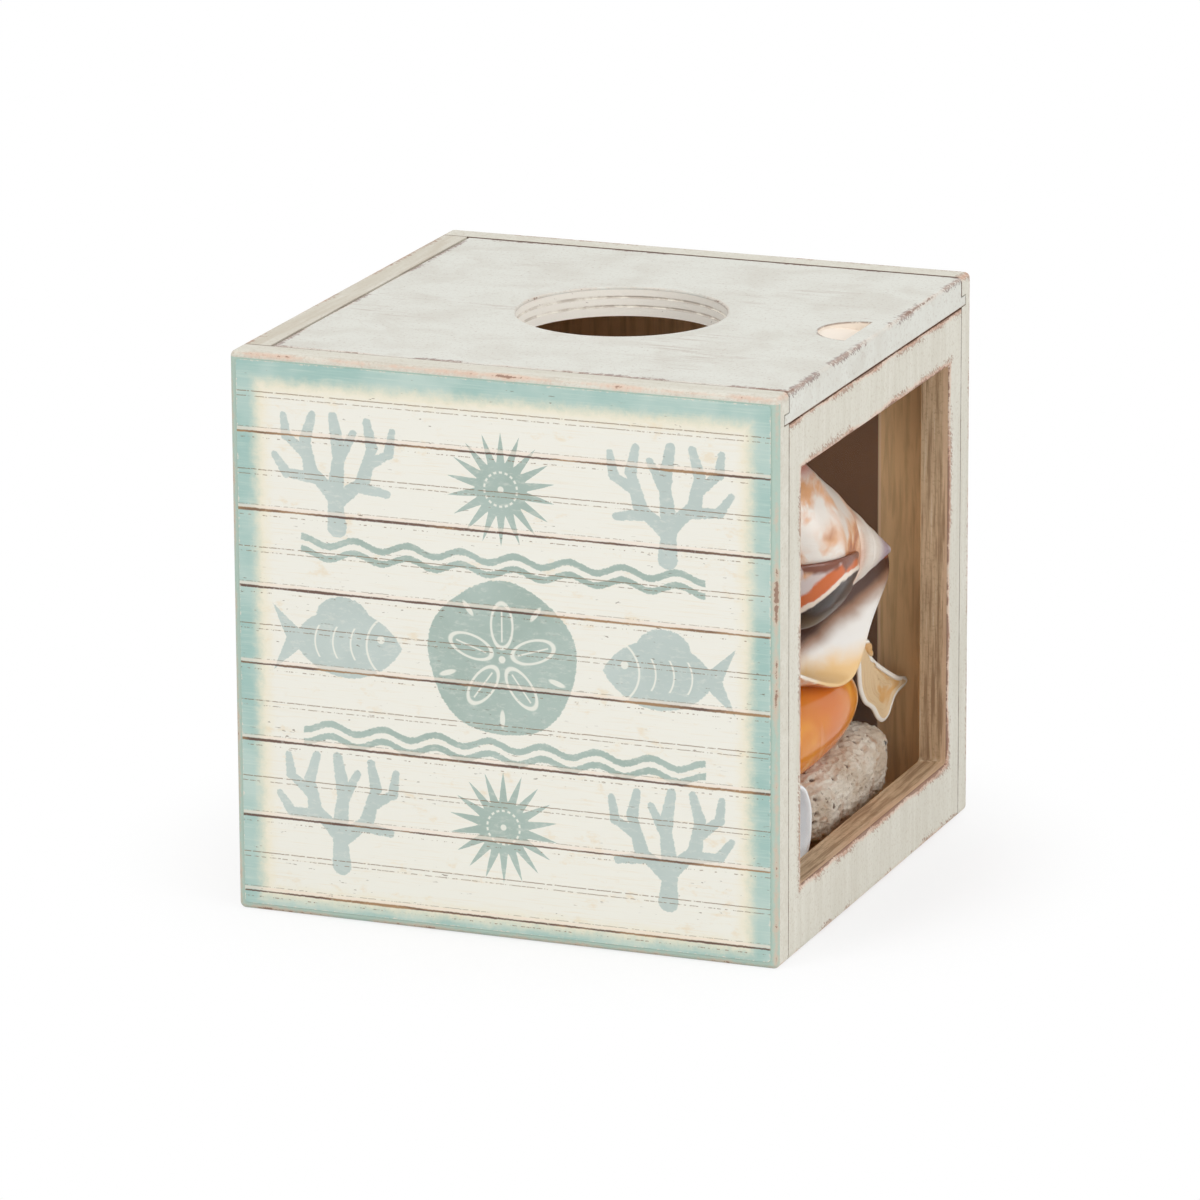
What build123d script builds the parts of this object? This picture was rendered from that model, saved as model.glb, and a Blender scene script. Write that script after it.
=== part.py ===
from build123d import *
import os

os.makedirs("parts", exist_ok=True)

# Overall case, millimetres
case_width = 127.0
case_depth = 127.0
case_height = 127.0
edge_radius = 1.4

# Board thicknesses
front_board = 6.6
back_board = 6.8
left_board = 6.8
frame_board = 6.8
floor_board = 6.8
lid_board = 6.8

# Printed paper on the front board
print_thickness = 0.2
print_edge_gap = 0.3
print_corner_radius = 0.8

# Sliding lid, its tongues and the grooves that they run in
tongue_thickness = 2.1
tongue_reach = 2.9
tongue_end_gap = 0.5
tongue_gap_below = 0.2
tongue_gap_above = 0.3
lid_side_gap = 0.35
lid_end_gap = 0.4
lid_frame_gap = 0.4
lid_edge_radius = 0.6

# Drop hole through the lid, with the ply lines that show in its wall
hole_radius = 23.5
hole_edge_radius = 0.5
ply_line_depth = 0.25
ply_line_height = 0.5
ply_line_levels = (2.1, 4.2)

# Half-moon thumb notch near the lid's free end
notch_radius = 9.0
notch_end_margin = 4.5
notch_deep = 2.6
notch_shallow = 0.6

# Window cut through the right-hand frame
window_sill = 15.0
window_stile = 7.7
window_rail = 11.3
window_corner_radius = 1.2
window_arris = 0.4

# Window pane and the grooves that hold it
pane_thickness = 2.0
pane_frame_gap = 0.1
pane_inner_gap = 0.2
pane_groove_depth = 2.5
pane_side_gap = 0.3
pane_foot_depth = 2.0
pane_top_gap = 1.3

# Brads through the front and back boards
brad_shank = 1.2
brad_head = 2.0
brad_head_height = 0.6
brad_length = 12.0
brad_hole_gap = 0.05
brad_end_margin = 9.0
brad_floor_spacing = 56.0

# Room left between a loose shell and what it lies on, how closely that room is met,
# and the blunt end of a shell's point
resting_gap = 0.3
resting_gap_error = 0.04
shell_tip_radius = 0.6

# Winged conch against the pane. Its last whorl reaches conch_radius, and each whorl is
# conch_growth times the one before, from a smallest share of the last. Its mouth opens at a turn
# from straight down, and its wing thins towards both ends of the mouth
conch_length = 97.0
conch_radius = 30.2
conch_growth = 1.7
conch_smallest_whorl = 0.01
conch_spire_slope = 0.6
conch_mouth_turn = 338
conch_mouth_floor_turn = 8
conch_canal_radius = 2.4
conch_pane_gap = 1.3
conch_tip_y = 50.3
conch_direction = (-0.388, -1.0, 0.235)
wing_reach = 33.0
wing_thickness = 2.0
wing_thin_share = 0.35
wing_root_share = 0.4

# Orange olive shell that the conch lies on
olive_length = 62.0
olive_radius = 12.5
olive_slit_radius = 3.0
olive_pane_gap = 4.2
olive_end_y = 34.0
olive_direction = (0.3, 1.0, 0.16)

# Cream flap of broken shell, domed, beside the olive shell
flap_width = 19.4
flap_height = 22.5
flap_thickness = 2.6
flap_dome_radius = 40.0
flap_wall_gap = 1.2
flap_pane_gap = 2.0
flap_direction = (-0.946, 0.324, 0)

# Coral stone on the floor
stone_length = 66.0
stone_width = 30.0
stone_height = 19.0
stone_pane_gap = 1.2
stone_wall_gap = 4.8
stone_pit_radius = 1.5
stone_small_pit_radius = 1.2
stone_corner_radius = 2.4

# Clam valve standing against the pane
valve_radius = 11.5
valve_dome_radius = 13.5
valve_thickness = 1.8
valve_edge_y = -12.5

# Moon shell behind the stone
moon_height = 32.0
moon_radius = 18.0
moon_mouth_radius = 7.0

# Auger shell lying along the front
auger_length = 74.0
auger_radius = 8.0
auger_whorls = 9
auger_step = 0.8

# Scallop valve lying at the left
scallop_radius = 20.0
scallop_dome_radius = 34.0
scallop_thickness = 2.2
scallop_ribs = 24
scallop_rib_radius = 2.9
scallop_ear_width = 15.0
scallop_ear_depth = 7.0

# Cone shell at the back
cone_length = 46.0
cone_radius = 13.0
cone_spire = 6.0
cone_tip_radius = 2.6
cone_shoulder_radius = 1.5

# Places worked out from the sizes above
half_width = case_width / 2
half_depth = case_depth / 2
front_outer_y = -half_depth + print_thickness
front_inner_y = front_outer_y + front_board
back_inner_y = half_depth - back_board
left_inner_x = -half_width + left_board
frame_inner_x = half_width - frame_board
lid_bottom_z = case_height - lid_board
frame_top_z = lid_bottom_z - lid_frame_gap
inner_depth = back_inner_y - front_inner_y
inner_centre_y = (back_inner_y + front_inner_y) / 2

groove_low_z = lid_bottom_z - tongue_gap_below
groove_high_z = lid_bottom_z + tongue_thickness + tongue_gap_above
groove_depth = tongue_reach - lid_side_gap + tongue_end_gap

pane_outer_x = frame_inner_x - pane_frame_gap
pane_inner_x = pane_outer_x - pane_thickness
pane_groove_width = pane_frame_gap + pane_thickness + pane_inner_gap
pane_foot_z = floor_board - pane_foot_depth
pane_top_z = lid_bottom_z - pane_top_gap

brad_hole = brad_shank / 2 + brad_hole_gap
brad_levels = (brad_end_margin, frame_top_z / 2, frame_top_z - brad_end_margin)
brad_head_hole = brad_head / 2 + brad_hole_gap
front_depth = brad_length - front_board
back_depth = brad_length - back_board
left_board_x = -half_width + left_board / 2
frame_board_x = half_width - frame_board / 2
brad_side_places = [(x, z) for x in (left_board_x, frame_board_x) for z in brad_levels]
brad_floor_places = [(x * brad_floor_spacing / 2, floor_board / 2) for x in (-1, 1)]
brad_places = brad_side_places + brad_floor_places


def upright(y, z=0):
    """The plane across the case at this Y, seen from the front, with its centre at Z."""
    return Plane(origin=(0, y, z), x_dir=(1, 0, 0), z_dir=(0, -1, 0))


def block(low, high, mode=Mode.ADD):
    """A rectangular block from its lowest corner to its highest, in the open part."""
    with Locations(tuple((a + b) / 2 for a, b in zip(low, high))):
        Box(*[b - a for a, b in zip(low, high)], mode=mode)


def drill_brad_holes(face_y, inward, places, depth, radius):
    """Round holes along Y, from the plane at face_y, for the brads at these X and Z places."""
    with BuildSketch(upright(face_y)) as holes:
        with Locations(*places):
            Circle(radius)
    extrude(holes.sketch, amount=-inward * depth, mode=Mode.SUBTRACT)


def save(part, name):
    """Labels a finished piece and writes it as its own file."""
    part.label = name
    export_step(part, f"parts/{name}.step")


# Front board: full width, grooved for the lid's tongue and for the pane
with BuildPart() as front_panel:
    block((-half_width, front_outer_y, 0), (half_width, front_inner_y, case_height))
    outer_face = front_panel.faces().sort_by(Axis.Y)[0]
    fillet(outer_face.edges() + front_panel.edges().filter_by(Axis.Y), radius=edge_radius)
    block(
        (left_inner_x, front_inner_y - groove_depth, groove_low_z),
        (half_width, front_inner_y, groove_high_z),
        Mode.SUBTRACT,
    )
    block(
        (frame_inner_x - pane_groove_width, front_inner_y - pane_groove_depth, pane_foot_z),
        (frame_inner_x, front_inner_y, groove_low_z),
        Mode.SUBTRACT,
    )
    drill_brad_holes(front_outer_y, 1, brad_places, front_board, brad_hole)
    drill_brad_holes(front_outer_y, 1, brad_places, brad_head_height, brad_head_hole)
save(front_panel.part, "front_panel")

# Back board: the front board's match, with no print on it
with BuildPart() as back_panel:
    block((-half_width, back_inner_y, 0), (half_width, half_depth, case_height))
    outer_face = back_panel.faces().sort_by(Axis.Y)[-1]
    fillet(outer_face.edges() + back_panel.edges().filter_by(Axis.Y), radius=edge_radius)
    block(
        (left_inner_x, back_inner_y, groove_low_z),
        (half_width, back_inner_y + groove_depth, groove_high_z),
        Mode.SUBTRACT,
    )
    block(
        (frame_inner_x - pane_groove_width, back_inner_y, pane_foot_z),
        (frame_inner_x, back_inner_y + pane_groove_depth, groove_low_z),
        Mode.SUBTRACT,
    )
    drill_brad_holes(half_depth, -1, brad_places, back_board, brad_hole)
    drill_brad_holes(half_depth, -1, brad_places, brad_head_height, brad_head_hole)
save(back_panel.part, "back_panel")

# Left board: full height, so that the lid closes against it
with BuildPart() as left_panel:
    block((-half_width, front_inner_y, 0), (left_inner_x, back_inner_y, case_height))
    outer_face = left_panel.faces().sort_by(Axis.X)[0]
    fillet(outer_face.edges().filter_by(Axis.Y), radius=edge_radius)
    left_places = [(x, z) for x, z in brad_side_places if x < 0]
    drill_brad_holes(front_inner_y, 1, left_places, front_depth, brad_hole)
    drill_brad_holes(back_inner_y, -1, left_places, back_depth, brad_hole)
save(left_panel.part, "left_panel")

# Right-hand frame: lower than the other walls, so that the lid slides out over it
with BuildPart() as window_frame:
    block((frame_inner_x, front_inner_y, 0), (half_width, back_inner_y, frame_top_z))
    outer_face = window_frame.faces().sort_by(Axis.X)[-1]
    outer_long_edges = outer_face.edges().filter_by(Axis.Y).sort_by(Axis.Z)
    fillet(outer_long_edges[0], radius=edge_radius)
    window_height = frame_top_z - window_rail - window_sill
    with BuildSketch(Plane.YZ.offset(frame_inner_x)):
        with Locations((inner_centre_y, window_sill + window_height / 2)):
            RectangleRounded(inner_depth - 2 * window_stile, window_height, window_corner_radius)
    extrude(amount=frame_board, mode=Mode.SUBTRACT)
    outer_face = window_frame.faces().sort_by(Axis.X)[-1]
    fillet(outer_face.inner_wires()[0].edges(), radius=window_arris)
    right_places = [(x, z) for x, z in brad_side_places if x > 0]
    drill_brad_holes(front_inner_y, 1, right_places, front_depth, brad_hole)
    drill_brad_holes(back_inner_y, -1, right_places, back_depth, brad_hole)
save(window_frame.part, "window_frame")

# Floor board between the four walls, grooved for the pane's foot
with BuildPart() as floor_panel:
    block((left_inner_x, front_inner_y, 0), (frame_inner_x, back_inner_y, floor_board))
    block(
        (frame_inner_x - pane_groove_width, front_inner_y, pane_foot_z),
        (frame_inner_x, back_inner_y, floor_board),
        Mode.SUBTRACT,
    )
    drill_brad_holes(front_inner_y, 1, brad_floor_places, front_depth, brad_hole)
    drill_brad_holes(back_inner_y, -1, brad_floor_places, back_depth, brad_hole)
save(floor_panel.part, "floor_panel")

# Window pane, standing in the grooves close behind the frame
with BuildPart() as window_pane:
    pane_reach = pane_groove_depth - pane_side_gap
    block(
        (pane_inner_x, front_inner_y - pane_reach, pane_foot_z),
        (pane_outer_x, back_inner_y + pane_reach, pane_top_z),
    )
save(window_pane.part, "window_pane")

# Sliding lid: a board with a tongue along each long side, a round hole and a thumb notch
with BuildPart() as lid:
    lid_left_x = left_inner_x + lid_end_gap
    lid_front_y = front_inner_y + lid_side_gap
    lid_back_y = back_inner_y - lid_side_gap
    block((lid_left_x, lid_front_y, lid_bottom_z), (half_width, lid_back_y, case_height))
    fillet(lid.faces().sort_by(Axis.Z)[-1].edges(), radius=lid_edge_radius)
    block(
        (lid_left_x, lid_front_y - tongue_reach, lid_bottom_z),
        (half_width, lid_back_y + tongue_reach, lid_bottom_z + tongue_thickness),
    )
    hole_x = (left_inner_x + half_width) / 2
    hole_y = inner_centre_y
    with BuildSketch(Plane.XY.offset(lid_bottom_z)):
        with Locations((hole_x, hole_y)):
            Circle(hole_radius)
    extrude(amount=lid_board, mode=Mode.SUBTRACT)
    rim = lid.edges().filter_by(GeomType.CIRCLE).filter_by(
        lambda e: abs(e.radius - hole_radius) < 0.01 and abs(e.center().Z - case_height) < 0.01
    )
    fillet(rim, radius=hole_edge_radius)
    # Shallow rings in the hole's wall
    for level in ply_line_levels:
        with BuildSketch(Plane.XY.offset(lid_bottom_z + level)):
            with Locations((hole_x, hole_y)):
                Circle(hole_radius + ply_line_depth)
        extrude(amount=ply_line_height, mode=Mode.SUBTRACT)
    # Half-moon recess: steep beside the free end, sloping up away from it
    notch_x = half_width - notch_end_margin
    notch_slope = (notch_deep - notch_shallow) / notch_radius
    with BuildSketch(Plane.XZ.offset(-hole_y)) as notch_side:
        with BuildLine():
            Polyline(
                (notch_x, case_height),
                (notch_x, case_height - notch_deep),
                (notch_x - notch_radius, case_height - notch_shallow),
                (notch_x - notch_radius, case_height),
                close=True,
            )
        make_face()
    notch_wedge = extrude(amount=notch_radius, both=True, mode=Mode.PRIVATE)
    with BuildSketch(Plane.XY.offset(case_height - notch_deep)):
        with Locations((notch_x, hole_y)):
            Circle(notch_radius)
    notch_round = extrude(amount=notch_deep, mode=Mode.PRIVATE)
    add(notch_wedge & notch_round, mode=Mode.SUBTRACT)
save(lid.part, "lid")

# Printed paper glued to the front board
with BuildPart() as front_print:
    print_margin = edge_radius + print_edge_gap
    with BuildSketch(upright(front_outer_y, case_height / 2)):
        RectangleRounded(
            case_width - 2 * print_margin, case_height - 2 * print_margin, print_corner_radius
        )
    extrude(amount=print_thickness)
save(front_print.part, "front_print")


def brads(face_y, inward):
    """Brads with their heads level with the face at face_y, one solid each."""
    with BuildPart() as group:
        with BuildSketch(upright(face_y)):
            with Locations(*brad_places):
                Circle(brad_shank / 2)
        extrude(amount=-inward * brad_length)
        with BuildSketch(upright(face_y)):
            with Locations(*brad_places):
                Circle(brad_head / 2)
        extrude(amount=-inward * brad_head_height)
    return group.part


save(brads(front_outer_y, 1), "front_brads")
save(brads(half_depth, -1), "back_brads")


def revolved(points):
    """A solid of revolution about Z through these radius and height points, blunt at its ends."""
    foot = (shell_tip_radius, points[0][1])
    top = (shell_tip_radius, points[-1][1])
    with BuildPart() as turned:
        with BuildSketch(Plane.XZ):
            with BuildLine():
                Spline(foot, *points[1:-1], top)
                Polyline(top, (0, points[-1][1]), (0, points[0][1]), foot)
            make_face()
        revolve(axis=Axis.Z)
    return turned.part


def spindle(length, radius):
    """A solid that narrows to both ends, from Z = 0 to its length."""
    return revolved(
        [
            (0, 0),
            (0.7 * radius, 0.2 * length),
            (radius, 0.5 * length),
            (0.7 * radius, 0.8 * length),
            (0, length),
        ]
    )


def domed(outline, dome_radius, thickness):
    """A domed plate of this outline, cut from a hollow ball whose top touches Z = 0."""
    with BuildPart() as plate:
        extrude(outline, amount=-dome_radius)
        with Locations((0, 0, -dome_radius)):
            Sphere(dome_radius, mode=Mode.INTERSECT)
            Sphere(dome_radius - thickness, mode=Mode.SUBTRACT)
    return plate.part


def turned_to(part, along, across):
    """The part with its Z turned along one direction and its X near the other."""
    return Plane(origin=(0, 0, 0), x_dir=across, z_dir=along).location * part


def laid(part, low=(None, None, None), high=(None, None, None)):
    """The part moved so that the given low or high sides of its box lie at these places."""
    box = part.bounding_box()
    move = [0, 0, 0]
    for i, (low_side, high_side) in enumerate(zip(low, high)):
        if low_side is not None:
            move[i] = low_side - tuple(box.min)[i]
        if high_side is not None:
            move[i] = high_side - tuple(box.max)[i]
    return Pos(*move) * part


def settled(part, supports):
    """The part lowered until it lies a resting gap above what it can meet."""
    drop = min(part.distance_to(other) for other in supports) - resting_gap
    while drop > resting_gap_error:
        part = Pos(0, 0, -drop) * part
        drop = min(part.distance_to(other) for other in supports) - resting_gap
    return part


shell_floor_z = floor_board + resting_gap
shell_pane_x = pane_inner_x - resting_gap
shell_back_y = back_inner_y - resting_gap
shell_front_y = front_inner_y + resting_gap
shell_left_x = left_inner_x + resting_gap

# Coral stone: layers of an uneven outline, with a hump towards the back, and pits
with BuildPart() as stone_body:
    stone_layers = (
        (0, [(-0.37, -0.41), (0.27, -0.42), (0.43, -0.12), (0.45, 0.18),
             (0.37, 0.42), (-0.13, 0.45), (-0.43, 0.21)]),
        (0.2, [(-0.47, -0.47), (0.37, -0.48), (0.50, -0.12), (0.50, 0.20),
               (0.43, 0.48), (-0.20, 0.51), (-0.50, 0.21)]),
        (0.38, [(-0.38, -0.40), (0.30, -0.40), (0.47, -0.11), (0.49, 0.20),
                (0.41, 0.47), (-0.16, 0.48), (-0.45, 0.20)]),
        (0.5, [(-0.22, -0.22), (0.16, -0.24), (0.41, -0.06), (0.47, 0.21),
               (0.40, 0.46), (-0.13, 0.46), (-0.38, 0.21)]),
        (0.88, [(-0.22, 0.10), (0.10, 0.08), (0.34, 0.12), (0.44, 0.22),
                (0.39, 0.40), (-0.08, 0.42), (-0.27, 0.25)]),
        (1, [(-0.14, 0.17), (0.10, 0.15), (0.28, 0.19), (0.38, 0.25),
             (0.32, 0.35), (-0.04, 0.37), (-0.18, 0.27)]),
    )
    for share, outline in stone_layers:
        with BuildSketch(Plane.XY.offset(share * stone_height)) as layer:
            Polygon(*[(x * stone_width, y * stone_length) for x, y in outline], align=None)
            fillet(layer.vertices(), radius=stone_corner_radius)
    loft(ruled=True)
    stone_pits = ((0.5, 0.03, 0.2), (0.5, 0.12, 0.36), (0.49, 0.22, 0.3), (0.46, 0.25, 0.66))
    stone_small_pits = ((0.49, -0.07, 0.3), (0.4, 0.08, 0.55), (0.48, 0.14, 0.52), (0.2, 0.25, 1))
    for pits, radius in ((stone_pits, stone_pit_radius), (stone_small_pits, stone_small_pit_radius)):
        for x, y, z in pits:
            with Locations((x * stone_width, y * stone_length, z * stone_height)):
                Sphere(radius, mode=Mode.SUBTRACT)
stone = laid(
    stone_body.part,
    low=(None, None, shell_floor_z),
    high=(pane_inner_x - stone_pane_gap, back_inner_y - stone_wall_gap, None),
)
save(stone, "coral_stone")

# Moon shell: low spire and a round mouth
with BuildPart() as moon_body:
    add(
        revolved(
            [
                (0, 0),
                (0.7 * moon_radius, 0.06 * moon_height),
                (moon_radius, 0.42 * moon_height),
                (0.6 * moon_radius, 0.82 * moon_height),
                (0, moon_height),
            ]
        )
    )
    with Locations((0.75 * moon_radius, -0.75 * moon_radius, 0.3 * moon_height)):
        Sphere(moon_mouth_radius, mode=Mode.SUBTRACT)
moon = laid(
    turned_to(moon_body.part, (0.1, 0.3, 1), (1, 0, 0)),
    low=(None, None, shell_floor_z),
    high=(stone.bounding_box().min.X - resting_gap, shell_back_y, None),
)
save(moon, "moon_shell")

# Olive shell, glossy, with its slit underneath
with BuildPart() as olive_body:
    add(
        revolved(
            [
                (0, 0),
                (0.6 * olive_radius, 0.1 * olive_length),
                (olive_radius, 0.48 * olive_length),
                (0.66 * olive_radius, 0.86 * olive_length),
                (0, olive_length),
            ]
        )
    )
    olive_slit = spindle(0.8 * olive_length, olive_slit_radius)
    with Locations((0, 0.95 * olive_radius, 0.1 * olive_length)):
        add(olive_slit, mode=Mode.SUBTRACT)
olive = settled(
    laid(
        turned_to(olive_body.part, olive_direction, (1, 0, 0)),
        high=(pane_inner_x - olive_pane_gap, olive_end_y, lid_bottom_z),
    ),
    [stone],
)
save(olive, "orange_shell")

# Cream flap: a pointed, domed piece of shell that stands on the stone
flap_points = (
    (0.38, 0.55),
    (0.20, 0.29),
    (-0.07, 0.09),
    (-0.25, 0.0),
    (-0.43, -0.07),
    (-0.20, -0.21),
    (-0.07, -0.40),
    (0.07, -0.45),
    (0.26, -0.27),
    (0.43, -0.16),
    (0.57, 0.18),
)
with BuildSketch() as flap_outline:
    with BuildLine():
        Spline(
            *[(x * flap_width, y * flap_height) for x, y in flap_points],
            periodic=True,
        )
    make_face()
flap_body = domed(flap_outline.sketch, flap_dome_radius, flap_thickness)
flap = laid(
    turned_to(flap_body, flap_direction, (0, -1, 0)),
    low=(None, None, stone.bounding_box().max.Z + resting_gap),
    high=(pane_inner_x - flap_pane_gap, back_inner_y - flap_wall_gap, None),
)
flap = settled(flap, [stone, floor_panel.part])
save(flap, "cream_shell")

# Winged conch: whorls that grow round its axis to a mouth with a wide wing.
# Both lines are shares: height, then reach, and for the wing the turn of its rim
whorl_line = (
    (0.397, 0.602), (0.469, 0.732), (0.562, 0.876), (0.639, 0.987), (0.701, 1.0),
    (0.778, 0.908), (0.861, 0.70), (0.938, 0.414), (1.0, 0.111),
)
wing_line = (
    (0, 0.08, 12), (0.02, 0.155, 12), (0.088, 0.394, 15), (0.149, 0.62, 17), (0.18, 0.845, 14),
    (0.268, 0.972, 19), (0.412, 1.0, 27), (0.557, 1.0, 35), (0.67, 0.93, 36), (0.804, 0.732, 32),
    (0.918, 0.45, 26), (1.0, 0.2, 22),
)
conch_levels = (0.0, 0.03, 0.088, 0.149, 0.18, 0.268, 0.36, 0.45, 0.557, 0.62, 0.70, 0.80, 0.90, 1.0)
body_turns = (2, 30, 58, 86, 114, 142, 170, 198, 226, 254, 282, 310)
wing_shares = (0, 0.25, 0.5, 0.75, 1)


def on_line(line, height):
    """The values that follow the height on a line of points."""
    low, high = next(
        (pair for pair in zip(line, line[1:]) if height <= pair[1][0]), (line[-2], line[-1])
    )
    share = (height - low[0]) / (high[0] - low[0])
    return [a + share * (b - a) for a, b in zip(low[1:], high[1:])]


def whorl_reach(level, before_mouth):
    """How far the outermost whorl reaches at a level, so many degrees before the mouth."""
    size = conch_growth ** (-before_mouth / 360)
    while size * whorl_line[0][0] > level and size > conch_smallest_whorl:
        size /= conch_growth
    if level >= size * whorl_line[-1][0]:
        return conch_canal_radius
    reach = on_line(whorl_line, max(level / size, whorl_line[0][0]))[0]
    spire_reach = shell_tip_radius + conch_spire_slope * conch_radius * level
    return max(reach * size * conch_radius, min(conch_canal_radius, spire_reach))


def conch_spot(reach, turn):
    """A point at this reach and turn from straight down, towards the pane."""
    return Vector(reach, 0).rotate(Axis.Z, turn - 90)


def conch_section(level):
    """The outline across the conch at one level: body, last whorl, wing and mouth."""
    reach, turn = on_line(wing_line, level)
    rim = wing_reach * reach
    mouth = whorl_reach(level, 0)
    thin = wing_thickness * (wing_thin_share + (1 - wing_thin_share) * reach)
    body = [conch_spot(whorl_reach(level, conch_mouth_turn - t), t) for t in body_turns]
    shut = conch_mouth_turn - 360
    outside = [
        conch_spot(mouth + share * (rim - mouth), shut + share * (turn - shut))
        for share in wing_shares
    ]
    inward = [
        (after - before).normalized().rotate(Axis.Z, 90) * thin
        for before, after in zip(outside, outside[1:])
    ]
    inside = [spot + step for spot, step in zip(outside[1:], inward)]
    floor_reach = max(mouth - thin, body[0].length + wing_root_share * thin)
    mouth_floor = conch_spot(floor_reach, shut + conch_mouth_floor_turn)
    return body + outside + inside[::-1] + [mouth_floor]


with BuildPart() as conch_body:
    for level in conch_levels:
        with BuildSketch(Plane.XY.offset(level * conch_length)):
            Polygon(*conch_section(level), align=None)
    loft(ruled=True)
conch = settled(
    laid(
        turned_to(conch_body.part, conch_direction, (1, 0, 0)),
        high=(pane_inner_x - conch_pane_gap, conch_tip_y, lid_bottom_z + conch_length),
    ),
    [olive, flap],
)
save(conch, "conch_shell")

# Clam valve: a deep dome standing on its edge
with BuildSketch() as valve_outline:
    Circle(valve_radius)
valve_body = domed(valve_outline.sketch, valve_dome_radius, valve_thickness)
valve = laid(
    turned_to(valve_body, (-1, 0.08, 0.04), (0, 1, 0)),
    low=(None, None, shell_floor_z),
    high=(shell_pane_x, valve_edge_y, None),
)
save(valve, "clam_shell")

# Auger shell: a long cone of stepped whorls
with BuildPart() as auger_body:
    auger_side = [(0, 0)]
    for i in range(auger_whorls):
        foot_share = i / auger_whorls
        top_share = (i + 1) / auger_whorls
        auger_side.append((auger_radius * (1 - foot_share), auger_length * foot_share))
        auger_side.append((auger_radius * (1 - top_share) + auger_step, auger_length * top_share))
    auger_side.append((0, auger_length))
    with BuildSketch(Plane.XZ):
        with BuildLine():
            Polyline(*auger_side, close=True)
        make_face()
    revolve(axis=Axis.Z)
auger = laid(
    turned_to(auger_body.part, (-1, 0.1, 0), (0, 0, 1)),
    low=(shell_left_x, shell_front_y, shell_floor_z),
)
save(auger, "auger_shell")

# Scallop valve: a ribbed fan with a straight ear at its hinge
with BuildSketch() as scallop_outline:
    Circle(scallop_radius)
    with PolarLocations(scallop_radius, scallop_ribs):
        Circle(scallop_rib_radius)
    with Locations((0, -scallop_radius)):
        Rectangle(scallop_ear_width, scallop_ear_depth)
scallop_body = domed(scallop_outline.sketch, scallop_dome_radius, scallop_thickness)
scallop = laid(
    turned_to(scallop_body, (0, 0, 1), (1, 0.3, 0)),
    low=(shell_left_x, auger.bounding_box().max.Y + resting_gap, shell_floor_z),
)
save(scallop, "scallop_shell")

# Cone shell: straight sides under a low spire
with BuildPart() as cone_body:
    with BuildSketch(Plane.XZ):
        with BuildLine():
            Polyline(
                (0, 0),
                (cone_tip_radius, 0),
                (cone_radius, cone_length - cone_spire),
                (0, cone_length),
                close=True,
            )
        make_face()
    revolve(axis=Axis.Z)
    cone_shoulder = cone_body.edges().filter_by(GeomType.CIRCLE).sort_by(SortBy.RADIUS)[-1]
    fillet(cone_shoulder, radius=cone_shoulder_radius)
cone = laid(
    turned_to(cone_body.part, (-0.2, 1, 0.26), (0, 0, 1)),
    low=(shell_left_x, None, shell_floor_z),
    high=(None, shell_back_y, None),
)
save(cone, "cone_shell")
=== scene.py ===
import math
from math import cos, pi, radians, sin

import bmesh
import bpy
import numpy
from mathutils import Matrix, Vector
from mathutils import noise as scatter


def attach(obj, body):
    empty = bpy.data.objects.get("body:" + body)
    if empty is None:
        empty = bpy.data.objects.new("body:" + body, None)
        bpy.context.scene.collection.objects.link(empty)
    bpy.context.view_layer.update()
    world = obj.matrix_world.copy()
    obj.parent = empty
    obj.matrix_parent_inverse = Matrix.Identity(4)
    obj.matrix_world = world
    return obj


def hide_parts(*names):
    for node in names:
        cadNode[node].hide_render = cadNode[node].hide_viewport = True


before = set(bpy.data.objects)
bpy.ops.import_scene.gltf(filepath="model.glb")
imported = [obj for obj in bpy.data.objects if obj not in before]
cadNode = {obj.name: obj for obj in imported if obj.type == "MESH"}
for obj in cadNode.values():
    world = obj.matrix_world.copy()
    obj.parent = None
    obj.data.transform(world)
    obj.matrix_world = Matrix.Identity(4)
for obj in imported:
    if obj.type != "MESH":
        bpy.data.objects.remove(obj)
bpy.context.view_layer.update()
print("loaded the box and its shells")


class Wire:
    # a node's output: Python's own signs add a Math node to its tree
    def __init__(self, socket):
        self.socket = socket
        self.tree = socket.id_data


def feed(socket, value):
    if isinstance(value, Wire):
        value.tree.links.new(value.socket, socket)
    else:
        socket.default_value = value


def addNode(tree, kind, inputs=None, **settings):
    made = tree.nodes.new(kind)
    for name, value in settings.items():
        setattr(made, name, value)
    for key, value in (inputs or {}).items():
        feed(made.inputs[key], value)
    return made


def wires(node):
    return {socket.name: Wire(socket) for socket in node.outputs}


def treeOf(values):
    return next(value.tree for value in values if isinstance(value, Wire))


def calc(operation, first, second=0.0, third=0.0):
    inputs = {0: first, 1: second, 2: third}
    return Wire(addNode(treeOf(inputs.values()), "ShaderNodeMath", inputs, operation=operation).outputs[0])


def addSign(sign, operation, swapped=False):
    def signed(one, other=0.0):
        return calc(operation, other, one) if swapped else calc(operation, one, other)
    setattr(Wire, f"__{sign}__", signed)


for sign, operation in (("add", "ADD"), ("sub", "SUBTRACT"), ("mul", "MULTIPLY"), ("truediv", "DIVIDE"),
                        ("pow", "POWER"), ("lt", "LESS_THAN"), ("gt", "GREATER_THAN"), ("abs", "ABSOLUTE")):
    addSign(sign, operation)
addSign("radd", "ADD", swapped=True)
addSign("rsub", "SUBTRACT", swapped=True)


def least(first, second):
    return calc("MINIMUM", first, second)


def most(first, second):
    return calc("MAXIMUM", first, second)


def scaled(value, factor, offset):
    # value times factor, plus offset
    return calc("MULTIPLY_ADD", value, factor, offset)


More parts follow.
